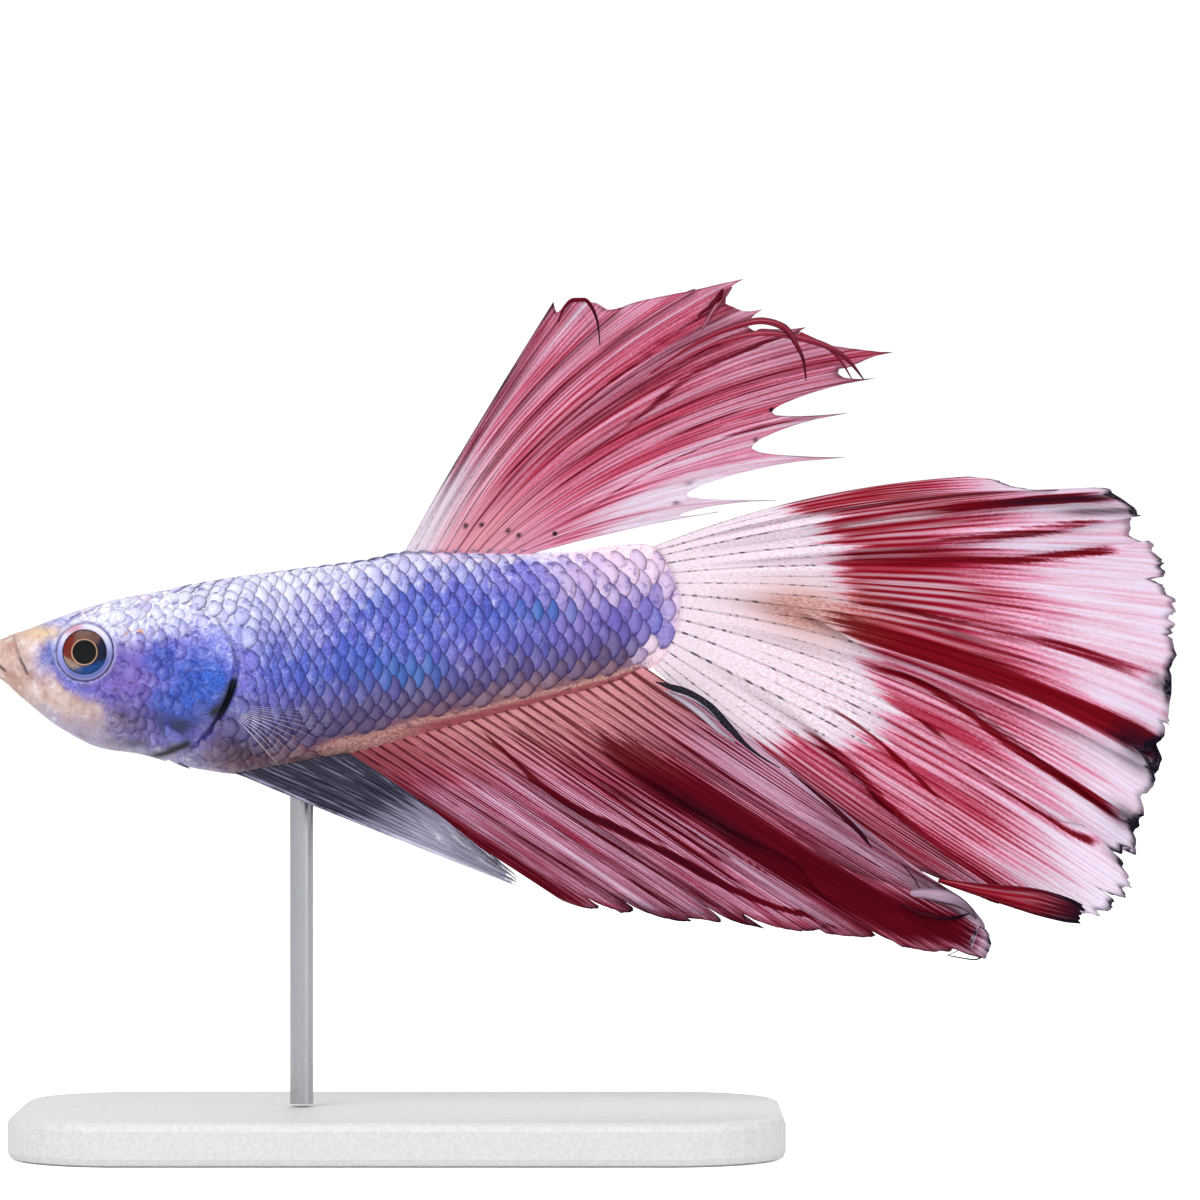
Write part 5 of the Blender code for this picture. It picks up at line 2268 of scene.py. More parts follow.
DORSAL = FinForm(
    name="dorsal_fin_membrane",
    base=dorsal_base,
    rays=(
        (0.0, 34.7, 21.25, 61), (0.018, 34.95, 20.6, 61.5), (0.06, 35.9, 21.35, 62.5),
        (0.1, 37.2, 21.2, 63.5), (0.135, 38.2, 20.75, 64), (0.18, 39.9, 21.35, 65.5),
        (3 / 12, 43.2, 22.0, 64), (4 / 12, 46.1, 22.6, 62), (5 / 12, 47.4, 20.7, 58),
        (6 / 12, 50.0, 19.7, 54), (7 / 12, 55.2, 18.3, 48), (8 / 12, 54.2, 16.7, 43),
        (9 / 12, 52.6, 14.6, 38), (10 / 12, 52.4, 11.9, 32), (11 / 12, 48.2, 9.3, 25),
        (12 / 12, 44.6, 8.6, 16),
    ),
    notches=(0.0, 0.0, 0.01, 0.01, 0.08, 0.07, 0.06, 0.1, 0.21, 0.25, 0.4, 0.28),
    folds=(
        Fold(((0.0, 0.04), (1.0, 0.05)), 0.022, 0.3, 2.3, 0.3, 0.6, 0.3),
        Fold(((0.0, 0.16), (1.0, 0.14)), 0.026, 0.3, 2.4, 0.3, 0.7, 0.35),
        Fold(((0.0, 0.27), (1.0, 0.25)), 0.014, 0.25, 2.2, 0.2, 0.6, 0.5),
        Fold(((0.0, 0.42), (0.6, 0.4), (1.0, 0.38)), 0.022, 0.4, 2.5, 0.3, 0.7, 0.45),
        Fold(((0.0, 0.52), (0.55, 0.5), (1.0, 0.47)), 0.016, -0.35, 2.3, 0.2, 0.5, 0.8),
        Fold(((0.0, 0.58), (1.0, 0.61)), 0.014, -0.35, 2.3, 0.2, 0.6, 0.8),
    ),
    sway=((0.0, 0.2), (0.3, -0.5), (0.7, 0.4), (1.0, -0.3)),
    columns_per_web=25,
    rows=140,
    fray=0.003,
)
CAUDAL = FinForm(
    name="caudal_fin_membrane",
    base=caudal_base,
    rays=(
        (0.0, 60.6, 10.8, 22), (0.06, 64.6, 9.9, 18), (0.12, 68.0, 10.1, 15), (0.24, 71.7, 6.2, 7),
        (0.36, 72.9, 0.9, 0), (0.48, 71.7, -6.8, -6), (0.6, 70.4, -11.5, -16),
        (0.7, 69.6, -15.0, -25), (0.79, 66.9, -16.1, -33), (0.87, 62.6, -15.5, -39),
        (0.94, 58.8, -13.9, -43), (1.0, 55.0, -12.4, -45),
    ),
    notches=(0.03, 0.04, 0.07, 0.04, 0.03, 0.03, 0.04, 0.05, 0.04, 0.05, 0.03, 0.04, 0.03, 0.02),
    folds=(
        Fold(((0.0, 0.08), (1.0, 0.075)), 0.012, 0.25, 2.2, 0.35, 0.6, 0.35),
        Fold(((0.0, 0.17), (0.7, 0.153), (1.0, 0.148)), 0.024, 0.4, 2.5, 0.55, 0.75, 0.7),
        Fold(((0.0, 0.26), (0.44, 0.243), (0.74, 0.213), (1.0, 0.19)), 0.012, 0.25, 2.4, 0.4, 0.6, 0.6),
        Fold(((0.0, 0.3), (0.3, 0.282), (0.57, 0.277), (1.0, 0.228)), 0.011, -0.25, 2.4, 0.28, 0.4, 0.85),
        Fold(
            ((0.0, 0.36), (0.31, 0.372), (0.45, 0.388), (0.62, 0.408), (1.0, 0.405)),
            0.016, -0.3, 2.4, 0.28, 0.4, 0.85,
        ),
        Fold(((0.0, 0.45), (0.25, 0.448), (0.41, 0.478), (1.0, 0.468)), 0.05, 0.55, 2.6, 0.18, 0.36, 1.0),
        Fold(((0.0, 0.55), (0.5, 0.55), (0.8, 0.57), (1.0, 0.579)), 0.022, 0.4, 2.5, 0.3, 0.5, 0.9),
        Fold(((0.0, 0.64), (0.4, 0.655), (0.7, 0.665), (1.0, 0.622)), 0.014, -0.3, 2.3, 0.35, 0.5, 0.8),
        Fold(
            ((0.0, 0.73), (0.33, 0.753), (0.46, 0.778), (0.64, 0.815), (1.0, 0.85)),
            0.03, 0.4, 2.5, 0.25, 0.45, 0.9,
        ),
    ),
    sway=((0.0, -0.6), (0.35, 0.5), (0.7, 0.5), (1.0, 1.6)),
    columns_per_web=36,
    rows=88,
    fray=0.018,
    lobed=True,
)
ANAL = FinForm(
    name="anal_fin_membrane",
    base=anal_base,
    rays=(
        (0.0, 35.7, -15.1, -31), (0.15, 39.9, -15.7, -33), (0.3, 44.8, -16.3, -33),
        (0.45, 48.9, -16.6, -33), (0.55, 53.1, -17.1, -33), (0.65, 57.3, -17.9, -33),
        (0.75, 60.8, -18.4, -34), (0.84, 61.2, -16.9, -35), (0.92, 59.6, -14.9, -36),
        (1.0, 56.6, -13.1, -33),
    ),
    notches=(0.05, 0.09, 0.1, 0.11, 0.1, 0.07, 0.06, 0.05, 0.03, 0.03, 0.04, 0.03),
    folds=(
        Fold(((0.0, 0.1), (1.0, 0.12)), 0.018, 0.3, 2.3, 0.15, 0.45, 0.6),
        Fold(((0.0, 0.22), (1.0, 0.24)), 0.024, 0.35, 2.4, 0.1, 0.4, 0.7),
        Fold(((0.0, 0.36), (1.0, 0.39)), 0.022, -0.35, 2.4, 0.15, 0.45, 0.75),
        Fold(((0.0, 0.48), (1.0, 0.52)), 0.026, 0.4, 2.5, 0.15, 0.45, 0.75),
        Fold(((0.0, 0.6), (1.0, 0.61)), 0.022, -0.3, 2.3, 0.15, 0.45, 0.7),
        Fold(
            ((0.0, 0.74), (0.45, 0.745), (0.62, 0.72), (0.8, 0.78), (1.0, 0.8)),
            0.092, 0.8, 2.7, 0.05, 0.3, 0.9,
        ),
        Fold(((0.0, 0.9), (1.0, 0.9)), 0.02, 0.3, 2.3, 0.3, 0.6, 0.5),
    ),
    curls=(Curl(0.8, 0.05, 0.93, 0.8), Curl(0.28, 0.03, 0.94, 0.6), Curl(0.1, 0.02, 0.95, 0.5)),
    sway=((0.0, 0.0), (0.4, -0.4), (0.75, -1.0), (1.0, -1.7)),
    columns_per_web=38,
    rows=86,
    fray=0.006,
    lobed=True,
)


def pectoral_form(side: Side) -> FinForm:
    """The small clear fan on one flank.

    Args:
        side: The side that the flank is on.

    Returns:
        The fin's form.
    """
    return FinForm(
        name=f"pectoral_fin_{side.name.lower()}_membrane",
        base=lambda share: np.stack((16.4 - 0.4 * share, -2.9 - 1.1 * share), -1),
        rays=(
            (0.0, 24.2, -3.2, -2), (0.3, 22.4, -4.4, -8), (0.6, 20.0, -5.7, -18), (0.85, 18.9, -6.8, -32),
            (1.0, 20.0, -8.7, -62),
        ),
        notches=(0.03, 0.05, 0.04, 0.06, 0.05, 0.04, 0.05),
        columns_per_web=14,
        rows=40,
        thickness=0.06,
        root=0.0,
        offset=lambda share, out: side.value * (3.62 + 0.15 * share + 1.9 * out - 0.5 * out * out),
        fray=0.02,
    )


def pelvic_base(share: Array) -> Array:
    """The short line where a pelvic fin meets the breast."""
    return np.stack((15.7 + 6.7 * share, -7.05 + 1.2 * share), -1)


def pelvic_form(side: Side) -> FinForm:
    """The long narrow fin under the breast on one side.

    Args:
        side: The side that the fin is on.

    Returns:
        The fin's form.
    """

    def aside(share: Array, out: Array) -> Array:
        """How far the fin stands off the middle plane."""
        return side.value * (1.3 + 1.1 * np.sin(math.pi * 0.8 * out) + 0.25 * (1 - share))

    return FinForm(
        name=f"pelvic_fin_{side.name.lower()}_membrane",
        base=pelvic_base,
        rays=((0.0, 32.6, -13.8, -22), (0.5, 32.7, -13.6, -21), (1.0, 32.4, -13.3, -31)),
        notches=(0.02, 0.05, 0.08, 0.06, 0.1),
        columns_per_web=12,
        rows=110,
        thickness=0.08,
        root=0.05,
        offset=aside,
        fray=0.02,
    )


@dataclass(frozen=True)
class Ribbon:
    """A curled strip of fin that tapers at both ends."""

    # Place behind the snout, height, how far it stands off the middle plane, width.
    path: Tuple[Tuple[float, float, float, float], ...]
    red: float = 1.0
    dark: float = 0.6
    ink: Tuple[float, float] = (0.0, 0.9)
    body: float = 1.0
    fray: float = 0.0
    rows: int = 48
    columns: int = 12
    thickness: float = 0.07

    def sheet(self) -> Tuple[Array, Array, Array]:
        """Lays out the strip's middle sheet.

        Returns:
            The points, and each one's place across it (-1 to 1) and along it (0 to 1).
        """
        steps = np.linspace(0, 1, self.rows + 1), np.linspace(-1, 1, self.columns + 1)
        along, across = np.meshgrid(*steps, indexing="ij")
        numbered = [(i / (len(self.path) - 1), *row) for i, row in enumerate(self.path)]
        along = along * (1 - self.fray * (0.5 + 0.5 * ripple(across * 1.9, 2.0)))
        x, z, aside, width = (smooth_curve(numbered, along, column) for column in (1, 2, 3, 4))
        small = 0.01
        run = [
            smooth_curve(numbered, along + small, column) - smooth_curve(numbered, along - small, column)
            for column in (1, 2)
        ]
        half = across * width / 2 / (np.hypot(*run) + 1e-9)
        x, z = x - run[1] * half, z + run[0] * half
        y = BODY.spine(x) + aside - 0.25 * width * (1 - across**2)
        return np.stack((x, y, z), -1), across, along

    def shares(self, across: Array, along: Array) -> Dict[str, Array]:
        """The shares of the fin's colours on it, darker along its edges and towards its tip.

        Args:
            across: Each point's place across the strip.
            along: Each point's place along the strip.

        Returns:
            The shares by name.
        """
        rim = ease(0.5, 1.0, np.abs(across))
        ink = self.ink[0] + (self.ink[1] - self.ink[0]) * ease(0.35, 1.0, along) + 0.35 * rim
        whole = np.ones_like(along)
        return {
            "red": self.red * whole,
            "cream": 0 * whole,
            "ink": unit(ink),
            "tan": 0 * whole,
            "dark": unit(self.dark + 0.3 * rim),
            "body": self.body * whole,
        }


@dataclass
class Curls:
    """The curled strips of one fin, joined in one piece."""

    name: str
    strips: Tuple[Ribbon, ...]

    def build(self, finish: Material) -> Piece:
        """Builds the strips.

        Args:
            finish: The fin's material.

        Returns:
            The finished piece.
        """
        points, faces, maps, kept = [], [], [], []
        for strip in self.strips:
            middle, across, along = strip.sheet()
            start = sum(len(sheet) for sheet in points)
            off = np.array((0.0, strip.thickness / 2, 0.0))
            points += [(middle + off * way).reshape(-1, 3) for way in (1, -1)]
            faces += [tuple(start + i for i in face) for face in slab_faces(*across.shape)]
            flat = np.stack((0.3 + across.ravel() * 0.03, 0.3 + 0.6 * along.ravel()), -1)
            maps.append(np.tile(flat, (2, 1)))
            kept.append(strip.shares(across, along))
        piece = mesh_object(self.name, to_row(np.concatenate(points)), faces)
        face_outwards(piece)
        for key in kept[0]:
            store(piece, key, np.concatenate([np.tile(shares[key].ravel(), 2) for shares in kept]))
        store_map(piece, "fan", np.concatenate(maps))
        piece.data.materials.append(finish)
        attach(piece, "root")
        return piece


DORSAL_CURLS = (
    Ribbon(
        ((40.5, 16.86, -0.8, 0.08), (42.9, 18.48, -1.2, 0.22), (45, 19.5, -1.5, 0.34),
         (47.1, 20.04, -1.7, 0.42), (48.48, 19.68, -1.8, 0.42), (49.32, 18.54, -1.8, 0.28),
         (49.74, 17.52, -1.7, 0.18), (49.86, 16.5, -1.6, 0.07)),
        red=0.9, dark=0.25, ink=(0.1, 0.7),
    ),
    Ribbon(
        ((39.9, 15.72, -0.6, 0.08), (42.3, 17.58, -0.9, 0.14), (44.7, 18.78, -1.2, 0.24),
         (47.4, 19.32, -1.4, 0.34), (49.8, 18.96, -1.5, 0.4), (51.6, 18.3, -1.5, 0.32),
         (52.62, 17.46, -1.5, 0.22), (53.34, 16.56, -1.4, 0.07)),
        red=0.85, dark=0.1, ink=(0.0, 0.6),
    ),
    Ribbon(
        ((49.5, 19.32, -1.2, 0.24), (51.06, 18.54, -1.3, 0.21), (52.02, 17.58, -1.3, 0.15),
         (52.62, 16.62, -1.2, 0.06)),
        red=0.9, dark=0.1, ink=(0.0, 0.6),
    ),
    Ribbon(
        ((34.98, 19.98, -0.4, 0.09), (35.34, 20.82, -0.6, 0.18), (35.94, 21.3, -0.8, 0.24),
         (36.54, 21.3, -1, 0.24), (37.02, 20.82, -1.1, 0.21), (37.38, 19.8, -1.1, 0.12),
         (37.5, 18.54, -1, 0.06)),
        dark=0.9,
    ),
    Ribbon(
        ((43.62, 19.5, -0.6, 0.12), (44.22, 20.58, -0.8, 0.3), (44.82, 21.48, -0.9, 0.42),
         (45.42, 22.08, -0.9, 0.09)),
        red=0.5, dark=0.35, ink=(0.1, 0.35),
    ),
    Ribbon(
        ((43.38, 20.34, -0.7, 0.09), (44.1, 20.94, -0.9, 0.21), (44.64, 21.48, -1, 0.36),
         (44.88, 21.96, -1, 0.12)),
        dark=0.7, ink=(0.3, 0.3),
    ),
)
ANAL_CURLS = (
    Ribbon(
        ((55.02, -14.76, -1, 0.18), (56.7, -14.34, -1.5, 0.6), (58.2, -14.52, -1.8, 0.84),
         (59.4, -15.06, -1.8, 0.54), (60.18, -15.9, -1.6, 0.12)),
        red=0.1, dark=0.1, ink=(0.3, 0.8), body=0.8,
    ),
    Ribbon(
        ((58.98, -15.6, -1.2, 0.07), (60.18, -16.38, -1.6, 0.12), (60.9, -17.1, -1.6, 0.15),
         (60.78, -17.82, -1.5, 0.12), (60.06, -18.36, -1.3, 0.09), (58.5, -18.12, -1.1, 0.07)),
        dark=0.3, ink=(0.8, 0.8),
    ),
    Ribbon(
        ((58.8, -15.66, -1.5, 0.07), (59.58, -16.5, -1.7, 0.06), (60.3, -17.4, -1.7, 0.06),
         (60.6, -18.18, -1.5, 0.05)),
        ink=(0.9, 0.9),
    ),
    Ribbon(
        ((58.5, -15.78, -1.3, 0.06), (59.1, -16.62, -1.5, 0.06), (59.22, -17.58, -1.5, 0.06),
         (58.38, -18.12, -1.3, 0.05)),
        ink=(0.5, 0.9),
    ),
    Ribbon(
        ((55.38, -14.94, -1.4, 0.09), (57, -15.6, -1.8, 0.24), (58.5, -15.84, -1.9, 0.24),
         (59.82, -15.54, -1.7, 0.06)),
        ink=(0.5, 1.0),
    ),
    Ribbon(
        ((55.68, -12.6, -1.2, 0.05), (56.34, -13.38, -1.3, 0.07), (56.82, -14.22, -1.3, 0.05)),
        ink=(0.9, 0.9),
    ),
)
CAUDAL_CURLS = (
    Ribbon(
        ((57.9, -13.62, -0.3, 0.24), (60.3, -14.16, -0.9, 0.78), (62.4, -14.58, -1.2, 1.32),
         (64.2, -15, -1.3, 1.6), (65.6, -15.4, -1.2, 1.5), (66.9, -15.8, -1.1, 1.0)),
        dark=0.35, ink=(0.0, 1.0), fray=0.1,
    ),
    Ribbon(
        ((40.86, -1.62, -1.0, 0.08), (41.58, -1.86, -1.2, 0.3), (42.6, -2.22, -1.35, 0.5),
         (43.98, -3.06, -1.45, 0.55), (45.3, -4.38, -1.45, 0.42), (46.2, -5.34, -1.4, 0.26),
         (47.1, -6.06, -1.4, 0.14), (48.3, -6.78, -1.3, 0.06)),
        red=0.0, dark=0.0, ink=(1.0, 1.0),
    ),
    Ribbon(
        ((41.34, -2.12, -1.05, 0.06), (42.3, -2.62, -1.1, 0.3), (43.5, -3.48, -1.1, 0.4),
         (44.58, -4.48, -1.1, 0.3), (45.6, -5.22, -1.1, 0.1)),
        red=0.05, dark=0.0, ink=(0.25, 0.35),
    ),
    Ribbon(
        ((41.58, -2.1, -1.3, 0.05), (42.78, -2.52, -1.5, 0.12), (43.86, -3.18, -1.55, 0.1),
         (44.7, -4.02, -1.5, 0.05)),
        red=0.0, dark=0.0, ink=(0.3, 0.6),
    ),
    Ribbon(
        ((48.9, -7.02, -1.3, 0.06), (50.4, -8.22, -1.5, 0.2), (52.2, -9.78, -1.6, 0.3),
         (53.22, -10.8, -1.6, 0.25), (53.82, -11.58, -1.5, 0.06)),
        red=1.0, dark=0.8, ink=(0.6, 0.9),
    ),
)


# ---- Eyes ----


@dataclass(frozen=True)
class EyeFinish:
    """The iris and pupil as rings about the eye's axis, read from the eye's own map."""

    pupil: Colour = rgb("030305")
    gold: Colour = rgb("dcae88")
    umber: Colour = rgb("7c5850")
    rust: Colour = rgb("7c2018")
    beige: Colour = rgb("a89080")
    navy: Colour = rgb("0a1434")
    teal: Colour = rgb("104a94")
    white: Colour = rgb("dedaf8")
    slate: Colour = rgb("6470b2")
    pink: Colour = rgb("c98494")
    periwinkle: Colour = rgb("747ed6")
    umber_deep: Colour = rgb("64443c")
    lilac: Colour = rgb("b8a6cc")
    # Painted shade in the groove between the iris and the ring.
    groove: Colour = rgb("14162c")
    outline: Colour = rgb("4c4684")

    def make(self) -> Material:
        """Builds the eyeball's material.

        Returns:
            The material.
        """
        made, graph, shader = new_material("betta_eye")
        disc = graph.add("ShaderNodeUVMap", uv_map="disc").outputs[0]
        back, up, _ = graph.split(disc, "XYZ")
        far = graph.vector("LENGTH", disc).node.outputs["Value"]
        grain = graph.noise(0.08 * MM, 3.0)
        loose = graph.times(graph.centred(grain), 0.9)

        def patch(first: Socket, second: Socket, tilt: float, low: float, high: float) -> Socket:
            """A share that grows along a slanting direction of the disc, with a grainy edge."""
            slant = graph.scaled(second, tilt, graph.plus(first, loose))
            return graph.window(slant, low, high)

        iris = graph.mix(graph.window(grain, 0.4, 0.62), self.umber, self.umber_deep)
        iris = graph.mix(graph.times(patch(back, up, -0.1, -0.5, -0.85), 0.95), iris, self.rust)
        iris = graph.mix(patch(back, up, 1.7, -1.45, -1.85), iris, self.beige)
        iris = graph.mix(patch(back, up, -0.55, 0.3, 0.6), iris, self.navy)
        iris = graph.mix(graph.times(patch(up, back, -0.25, -0.7, -0.95), 0.9), iris, self.teal)
        # Painted light and shade on the ring's dome: white towards the top, slate towards the bottom.
        ring = graph.mix(patch(up, back, -0.3, -1.0, 0.9), self.slate, self.white)
        ring = graph.mix(graph.times(patch(back, up, 0.2, -1.1, -1.5), 0.7), ring, self.periwinkle)
        rosy = graph.times(patch(up, back, 0.0, 0.9, 1.35), graph.window(back, 0.2, -0.5))
        ring = graph.mix(graph.times(rosy, 0.8), ring, self.pink)
        pale = graph.times(graph.window(far, 1.52, 1.62), graph.window(up, 0.3, -0.6))
        ring = graph.mix(graph.times(pale, 0.55), ring, self.lilac)
        colour = graph.mix(graph.window(far, 0.71, 0.725), self.pupil, self.gold)
        colour = graph.mix(graph.window(far, 0.765, 0.8), colour, iris)
        # Painted shade in the groove between the iris and the ring.
        colour = graph.mix(graph.window(far, 1.27, 1.3), colour, self.groove)
        colour = graph.mix(graph.window(far, 1.315, 1.36), colour, ring)
        outline = graph.times(graph.window(far, 1.63, 1.68), 0.55)
        colour = graph.mix(outline, colour, self.outline)
        graph.fill(shader, Base_Color=colour, Roughness=0.3, Specular_IOR_Level=0.15)
        return made


@dataclass(frozen=True)
class CorneaFinish:
    """The clear wet window of the eye."""

    ior: float = 1.12

    def make(self) -> Material:
        """Builds the cornea's material.

        Returns:
            The material.
        """
        made, graph, shader = new_material("betta_cornea")
        graph.fill(shader, Base_Color=WHITE, Roughness=0.02, IOR=self.ior, Transmission_Weight=1.0)
        return made


@dataclass
class Eye:
    """One eye: an eyeball with a dished iris, and a clear cornea over it."""

    side: Side
    # Distance from the axis, height above the eye's rim level.
    ball: Pairs = (
        (0.0, 0.1), (0.4, 0.1), (0.69, 0.09), (0.75, 0.16), (0.85, 0.15), (1.1, 0.09), (1.29, 0.03),
        (1.37, 0.12), (1.5, 0.14), (1.63, 0.06), (1.71, -0.1), (1.4, -0.7), (0.6, -1.0),
        (0.0, -1.05),
    )
    window: Pairs = (
        (0.0, 0.52), (0.35, 0.5), (0.7, 0.43), (1.0, 0.32), (1.22, 0.21), (1.33, 0.14), (1.3, 0.1),
        (1.05, 0.17), (0.7, 0.24), (0.35, 0.29), (0.0, 0.3),
    )
    steps: int = 72
    rim_level: float = 2.72
    forward_turn: float = 0.1
    fineness: int = 3

    def lathe(self, name: str, profile: Pairs) -> Piece:
        """Turns a profile about the eye's axis.

        Args:
            name: The piece's name.
            profile: Distance from the axis and height, from the front pole to the back one.

        Returns:
            The closed piece, with its disc map.
        """
        numbered = [(i, *row) for i, row in enumerate(profile)]
        at = np.linspace(0, len(profile) - 1, (len(profile) - 1) * self.fineness + 1)
        radius, height = smooth_curve(numbered, at, 1), smooth_curve(numbered, at, 2)
        turns = np.linspace(0, 2 * math.pi, self.steps, endpoint=False)
        r, h = radius[1:-1, None], np.broadcast_to(height[1:-1, None], (len(at) - 2, self.steps))
        local = np.stack((r * np.cos(turns), r * np.sin(turns), h), -1).reshape(-1, 3)
        local = np.concatenate((local, ((0, 0, height[0]), (0, 0, height[-1]))))
        faces = grid_faces(len(at) - 2, self.steps, True)
        front, rear = len(local) - 2, len(local) - 1
        base = (len(at) - 3) * self.steps
        for c in range(self.steps):
            d = (c + 1) % self.steps
            faces.append((d, c, front))
            faces.append((base + c, base + d, rear))
        piece = mesh_object(name, to_row(self.placed(local)), faces)
        face_outwards(piece)
        store_map(piece, "disc", local[:, :2])
        return piece

    def placed(self, local: Array) -> Array:
        """Takes points from the eye's own directions (back, up, out) to the fish's.

        Args:
            local: The points, each as its distance back, up and out.

        Returns:
            The points, in millimetres from the snout.
        """
        sign = self.side.value
        out = np.array((-math.sin(self.forward_turn), sign * math.cos(self.forward_turn), 0.0))
        back = np.array((math.cos(self.forward_turn), sign * math.sin(self.forward_turn), 0.0))
        up = np.array((0.0, 0.0, 1.0))
        centre = np.array((RELIEF.eye[0], sign * self.rim_level, RELIEF.eye[1]))
        return centre + local[:, :1] * back + local[:, 1:2] * up + local[:, 2:] * out

    def build(self, ball: Material, clear: Material) -> List[Piece]:
        """Builds the eye.

        Args:
            ball: The eyeball's material.
            clear: The cornea's material.

        Returns:
            The eyeball and the cornea.
        """
        name = f"eye_{self.side.name.lower()}"
        pieces = [self.lathe(f"{name}_ball", self.ball), self.lathe(f"{name}_cornea", self.window)]
        for piece, finish in zip(pieces, (ball, clear)):
            piece.data.materials.append(finish)
            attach(piece, "root")
        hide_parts(name)
        return pieces


# ---- Stand and studio ----


@dataclass(frozen=True)
class Stand:
    """The stand keeps its solids and gets its finishes here."""

    base_colour: Colour = rgb("dcdcda")
    base_grain: Colour = rgb("d2d2d0")
    steel_colour: Colour = rgb("b4b6ba")

    def dress(self, nodes: Dict[str, Piece]) -> None:
        """Gives the base a satin finish and the rod a brushed one.

        Args:
            nodes: The part's own solids by name.
        """
        for name, finish in (("stand_base", self.satin()), ("stand_rod", self.steel())):
            nodes[name].data.materials.clear()
            nodes[name].data.materials.append(finish)

    def satin(self) -> Material:
        """Moulds the base's plastic, with a fine grain.

        Returns:
            The material.
        """
        made, graph, shader = new_material("stand_satin")
        grain = graph.noise(0.25 * MM, 3.0)
        colour = graph.mix(graph.window(grain, 0.3, 0.7), self.base_colour, self.base_grain)
        rough = graph.window(grain, 0.3, 0.7, 0.42, 0.55)
        graph.fill(shader, Base_Color=colour, Roughness=rough, Normal=graph.bump(grain, 0.02 * MM))
        return made

    def steel(self) -> Material:
        """Draws the rod's steel, with fine lines along it.

        Returns:
            The material.
        """
        made, graph, shader = new_material("stand_steel")
        stretch = graph.vector("MULTIPLY", graph.place(), (1.0, 1.0, 0.02))
        lines = graph.noise(0.05 * MM, 2.0, stretch)
        rough, relief = graph.window(lines, 0.3, 0.7, 0.22, 0.38), graph.bump(lines, 0.01 * MM)
        graph.fill(shader, Base_Color=self.steel_colour, Metallic=1.0, Roughness=rough, Normal=relief)
        return made


@dataclass(frozen=True)
class Studio:
    """A white floor, a white sky, soft lamps and the camera."""

    distance: float = 0.4
    lens: float = 200.0
    sensor: float = 36.0
    aim: Tuple[float, float] = (0.012, 0.033)
    floor_radius: float = 6.0
    floor_corners: int = 64
    floor_glow: float = 0.62
    sky: float = 0.6
    sky_seen: float = 1.05
    # Each lamp's name, place, side length and power, in metres and watts.
    lamps: Tuple[Tuple[str, Tuple[float, float, float], float, float], ...] = (
        ("key", (-0.25, -0.45, 0.5), 0.45, 2.2),
        ("fill", (0.4, -0.35, 0.25), 0.5, 0.8),
        ("rim", (0.1, 0.4, 0.45), 0.4, 0.7),
        ("top", (0.0, -0.1, 0.62), 0.5, 0.5),
    )

    def build(self) -> None:
        """Sets up floor, sky, lamps and camera."""
        self.floor()
        self.sky_light()
        for lamp in self.lamps:
            self.lamp(*lamp)
        bpy.context.scene.cycles.transparent_max_bounces = 40
        self.camera()
        bpy.context.scene.view_settings.view_transform = "Standard"

    def floor(self) -> None:
        """A wide pale floor, bright enough to melt into the sky."""
        made, graph, shader = new_material("studio_floor")
        seen = graph.add("ShaderNodeLightPath").outputs["Is Camera Ray"]
        graph.fill(
            shader,
            Base_Color=(0.9, 0.9, 0.9, 1),
            Roughness=0.9,
            Specular_IOR_Level=0.0,
            Emission_Color=WHITE,
            Emission_Strength=graph.times(seen, self.floor_glow),
        )
        turns = np.linspace(0, 2 * math.pi, self.floor_corners, endpoint=False)
        ring = np.stack((np.cos(turns) * self.floor_radius, np.sin(turns) * self.floor_radius, 0 * turns), -1)
        piece = mesh_object("studio_floor", ring, [tuple(range(self.floor_corners))], smooth=False)
        piece.data.materials.append(made)

    def sky_light(self) -> None:
        """An even white sky, a little softer on the fish than it looks."""
        world = bpy.data.worlds.new("studio_sky")
        world.use_nodes = True
        graph = Graph(world.node_tree)
        background, output = graph.add("ShaderNodeBackground"), graph.add("ShaderNodeOutputWorld")
        seen = graph.add("ShaderNodeLightPath").outputs["Is Camera Ray"]
        strength = graph.scaled(seen, self.sky_seen - self.sky, self.sky)
        graph.fill(background, Strength=strength, Color=WHITE)
        graph.fill(output, Surface=background.outputs[0])
        bpy.context.scene.world = world

    def lamp(self, name: str, place: Tuple[float, float, float], size: float, power: float) -> None:
        """Adds a square soft lamp that faces the fish.

        Args:
            name: The lamp's name.
            place: Where it hangs, in metres.
            size: The length of its side.
            power: Its power in watts.
        """
        data = bpy.data.lights.new(name, "AREA")
        data.size = size
        data.energy = power
        made = bpy.data.objects.new(name, data)
        made.location = place
        aim = Vector((self.aim[0], 0.0, self.aim[1])) - Vector(place)
        made.rotation_euler = aim.to_track_quat("-Z", "Y").to_euler()
        bpy.context.scene.collection.objects.link(made)

    def camera(self) -> None:
        """Adds the camera, level with the fish and square to its left side."""
        data = bpy.data.cameras.new("camera")
        data.lens = self.lens
        data.sensor_width = self.sensor
        data.clip_start, data.clip_end = 0.01, 50.0
        made = bpy.data.objects.new("camera", data)
        made.location = (self.aim[0], -self.distance, self.aim[1])
        made.rotation_euler = (math.pi / 2, 0.0, 0.0)
        bpy.context.scene.collection.objects.link(made)
        bpy.context.scene.camera = made


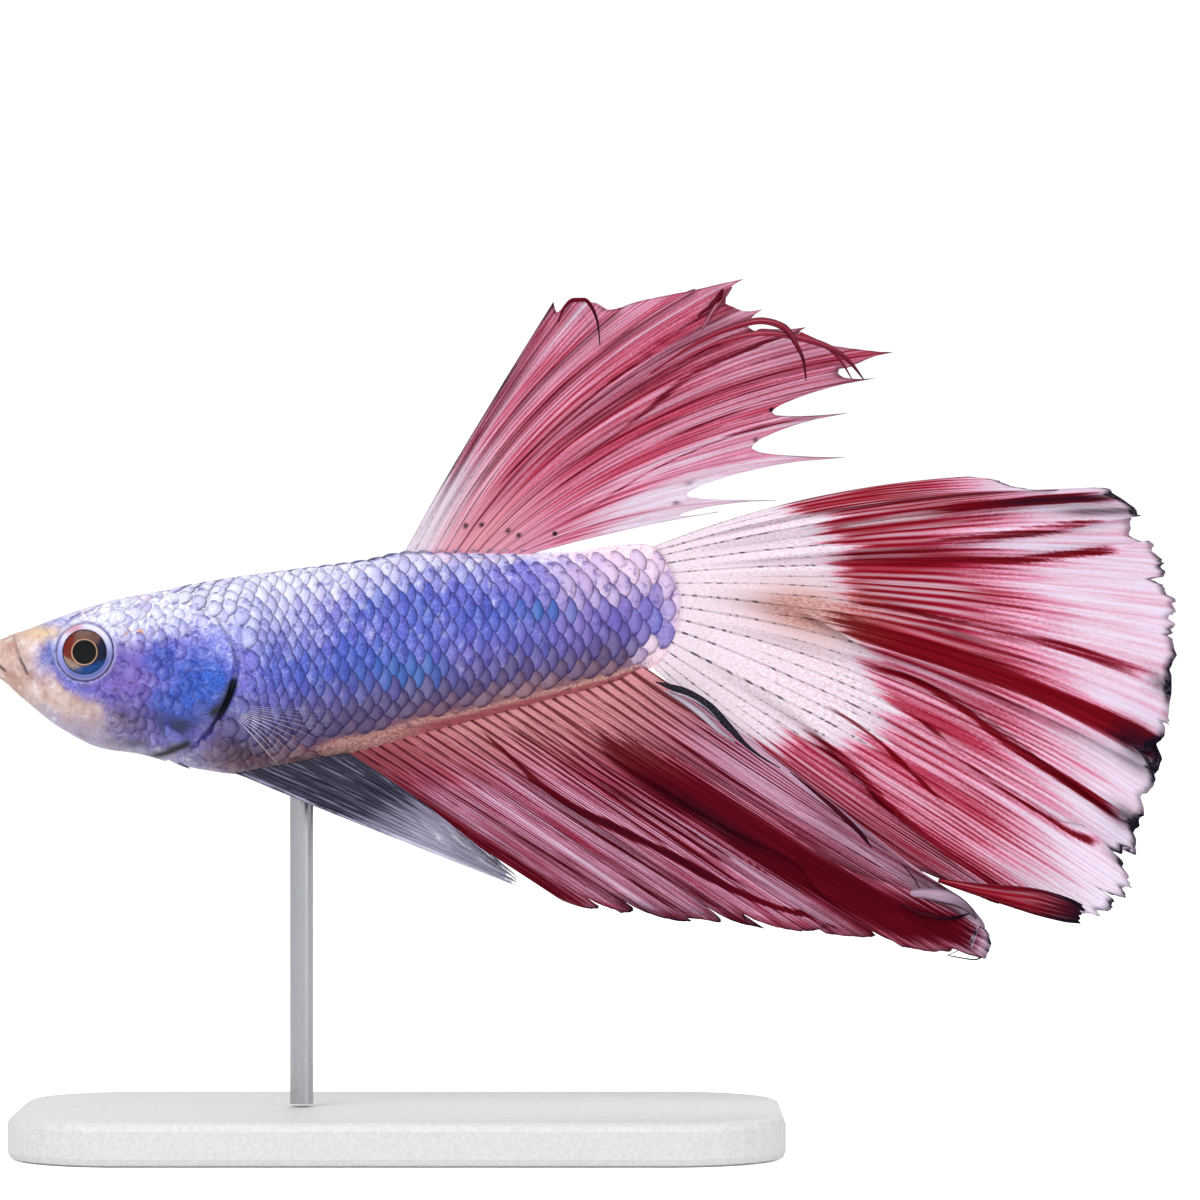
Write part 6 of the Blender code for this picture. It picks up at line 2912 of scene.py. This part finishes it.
def main() -> None:
    """Builds every piece in turn and reports each one."""
    logging.basicConfig(level=logging.INFO, format="%(name)s: %(message)s")
    Studio().build()

    markings = markings_and_light_group(Palette())
    rays = ray_group()
    pieces = [Skin().build(SkinFinish(markings).make())]

    scale, scale_finish = ScaleShape().build("scale_shape"), ScaleFinish(markings).make()
    coats = (
        BodyCoat(
            "body_scales", start=12.0, end=42.0, pitch=1.0, row_pitch=1.45, length=1.05, height=2.15,
            jitter=0.05, lift=0.03,
        ),
        HeadCoat(
            "head_scales", start=5.6, end=19.0, pitch=0.74, row_pitch=0.9, length=0.92, height=1.36,
            jitter=0.42, lift=-0.02, relief=0.4, edge=0.4, seed=11,
        ),
    )
    pieces += [coat.build(scale, scale_finish) for coat in coats]
    bpy.data.objects.remove(scale)

    tail_finish = FinFinish("betta_caudal_fin", rays, 14.0, clear_alpha=0.6, gap_strength=0.42).make()
    dorsal_finish = FinFinish(
        "betta_dorsal_fin", rays, 12.0, ray_width=0.06, clear_alpha=0.55, lavender=rgb("e6dcf0"),
        pink=rgb("d986a6"), crimson=rgb("be4260"), deep=rgb("a41c34"), dark_red=rgb("5a0618"),
        tan=rgb("d4848e"), gap_strength=0.2, streak=0.28, fine_lines=0.45,
    ).make()
    anal_finish = FinFinish(
        "betta_anal_fin", rays, 27.0, ray_width=0.12, branch_start=0.06, clear_alpha=0.6,
        lavender=rgb("e6c8e4"), pink=rgb("d086a8"), crimson=rgb("ac3c5c"), deep=rgb("84102a"),
        dark_red=rgb("50030f"), tan=rgb("cc7c86"), line_strength=0.88, gap_strength=0.48, fine_lines=0.65,
    ).make()
    pelvic_finish = FinFinish(
        "betta_pelvic_fin", rays, 5.0, clear_alpha=0.65, lavender=rgb("b6b0ce"), ink=rgb("05081c"),
        dark_red=rgb("14183a"), ink_streak=0.1,
    ).make()
    pectoral_finish = FinFinish(
        "betta_pectoral_fin", rays, 13.0, branch_start=2.0, clear_alpha=0.0, ray_alpha=1.1,
        grain_alpha=0.0, lavender=WHITE,
    ).make()
    fins = [
        (Fin(DORSAL, DorsalZones(), "fin"), dorsal_finish),
        (Fin(CAUDAL, CaudalZones(), "fin"), tail_finish),
        (Fin(ANAL, AnalZones(), "fin"), anal_finish),
    ]
    for side in Side:
        fins.append((Fin(pectoral_form(side), PectoralZones(), "clear_fin"), pectoral_finish))
        fins.append((Fin(pelvic_form(side), PelvicZones(), "pelvic_fin"), pelvic_finish))
    pieces += [fin.build(finish) for fin, finish in fins]
    curls = (
        (Curls("dorsal_curls", DORSAL_CURLS), dorsal_finish),
        (Curls("anal_curls", ANAL_CURLS), anal_finish),
        (Curls("caudal_curls", CAUDAL_CURLS), tail_finish),
    )
    pieces += [curl.build(finish) for curl, finish in curls]

    ball, clear = EyeFinish().make(), CorneaFinish().make()
    for side in Side:
        pieces += Eye(side).build(ball, clear)
    Stand().dress(frame["nodes"])
    for piece in pieces:
        log.info("%s: %d faces", piece.name, len(piece.data.polygons))


if __name__ == "__main__":
    main()
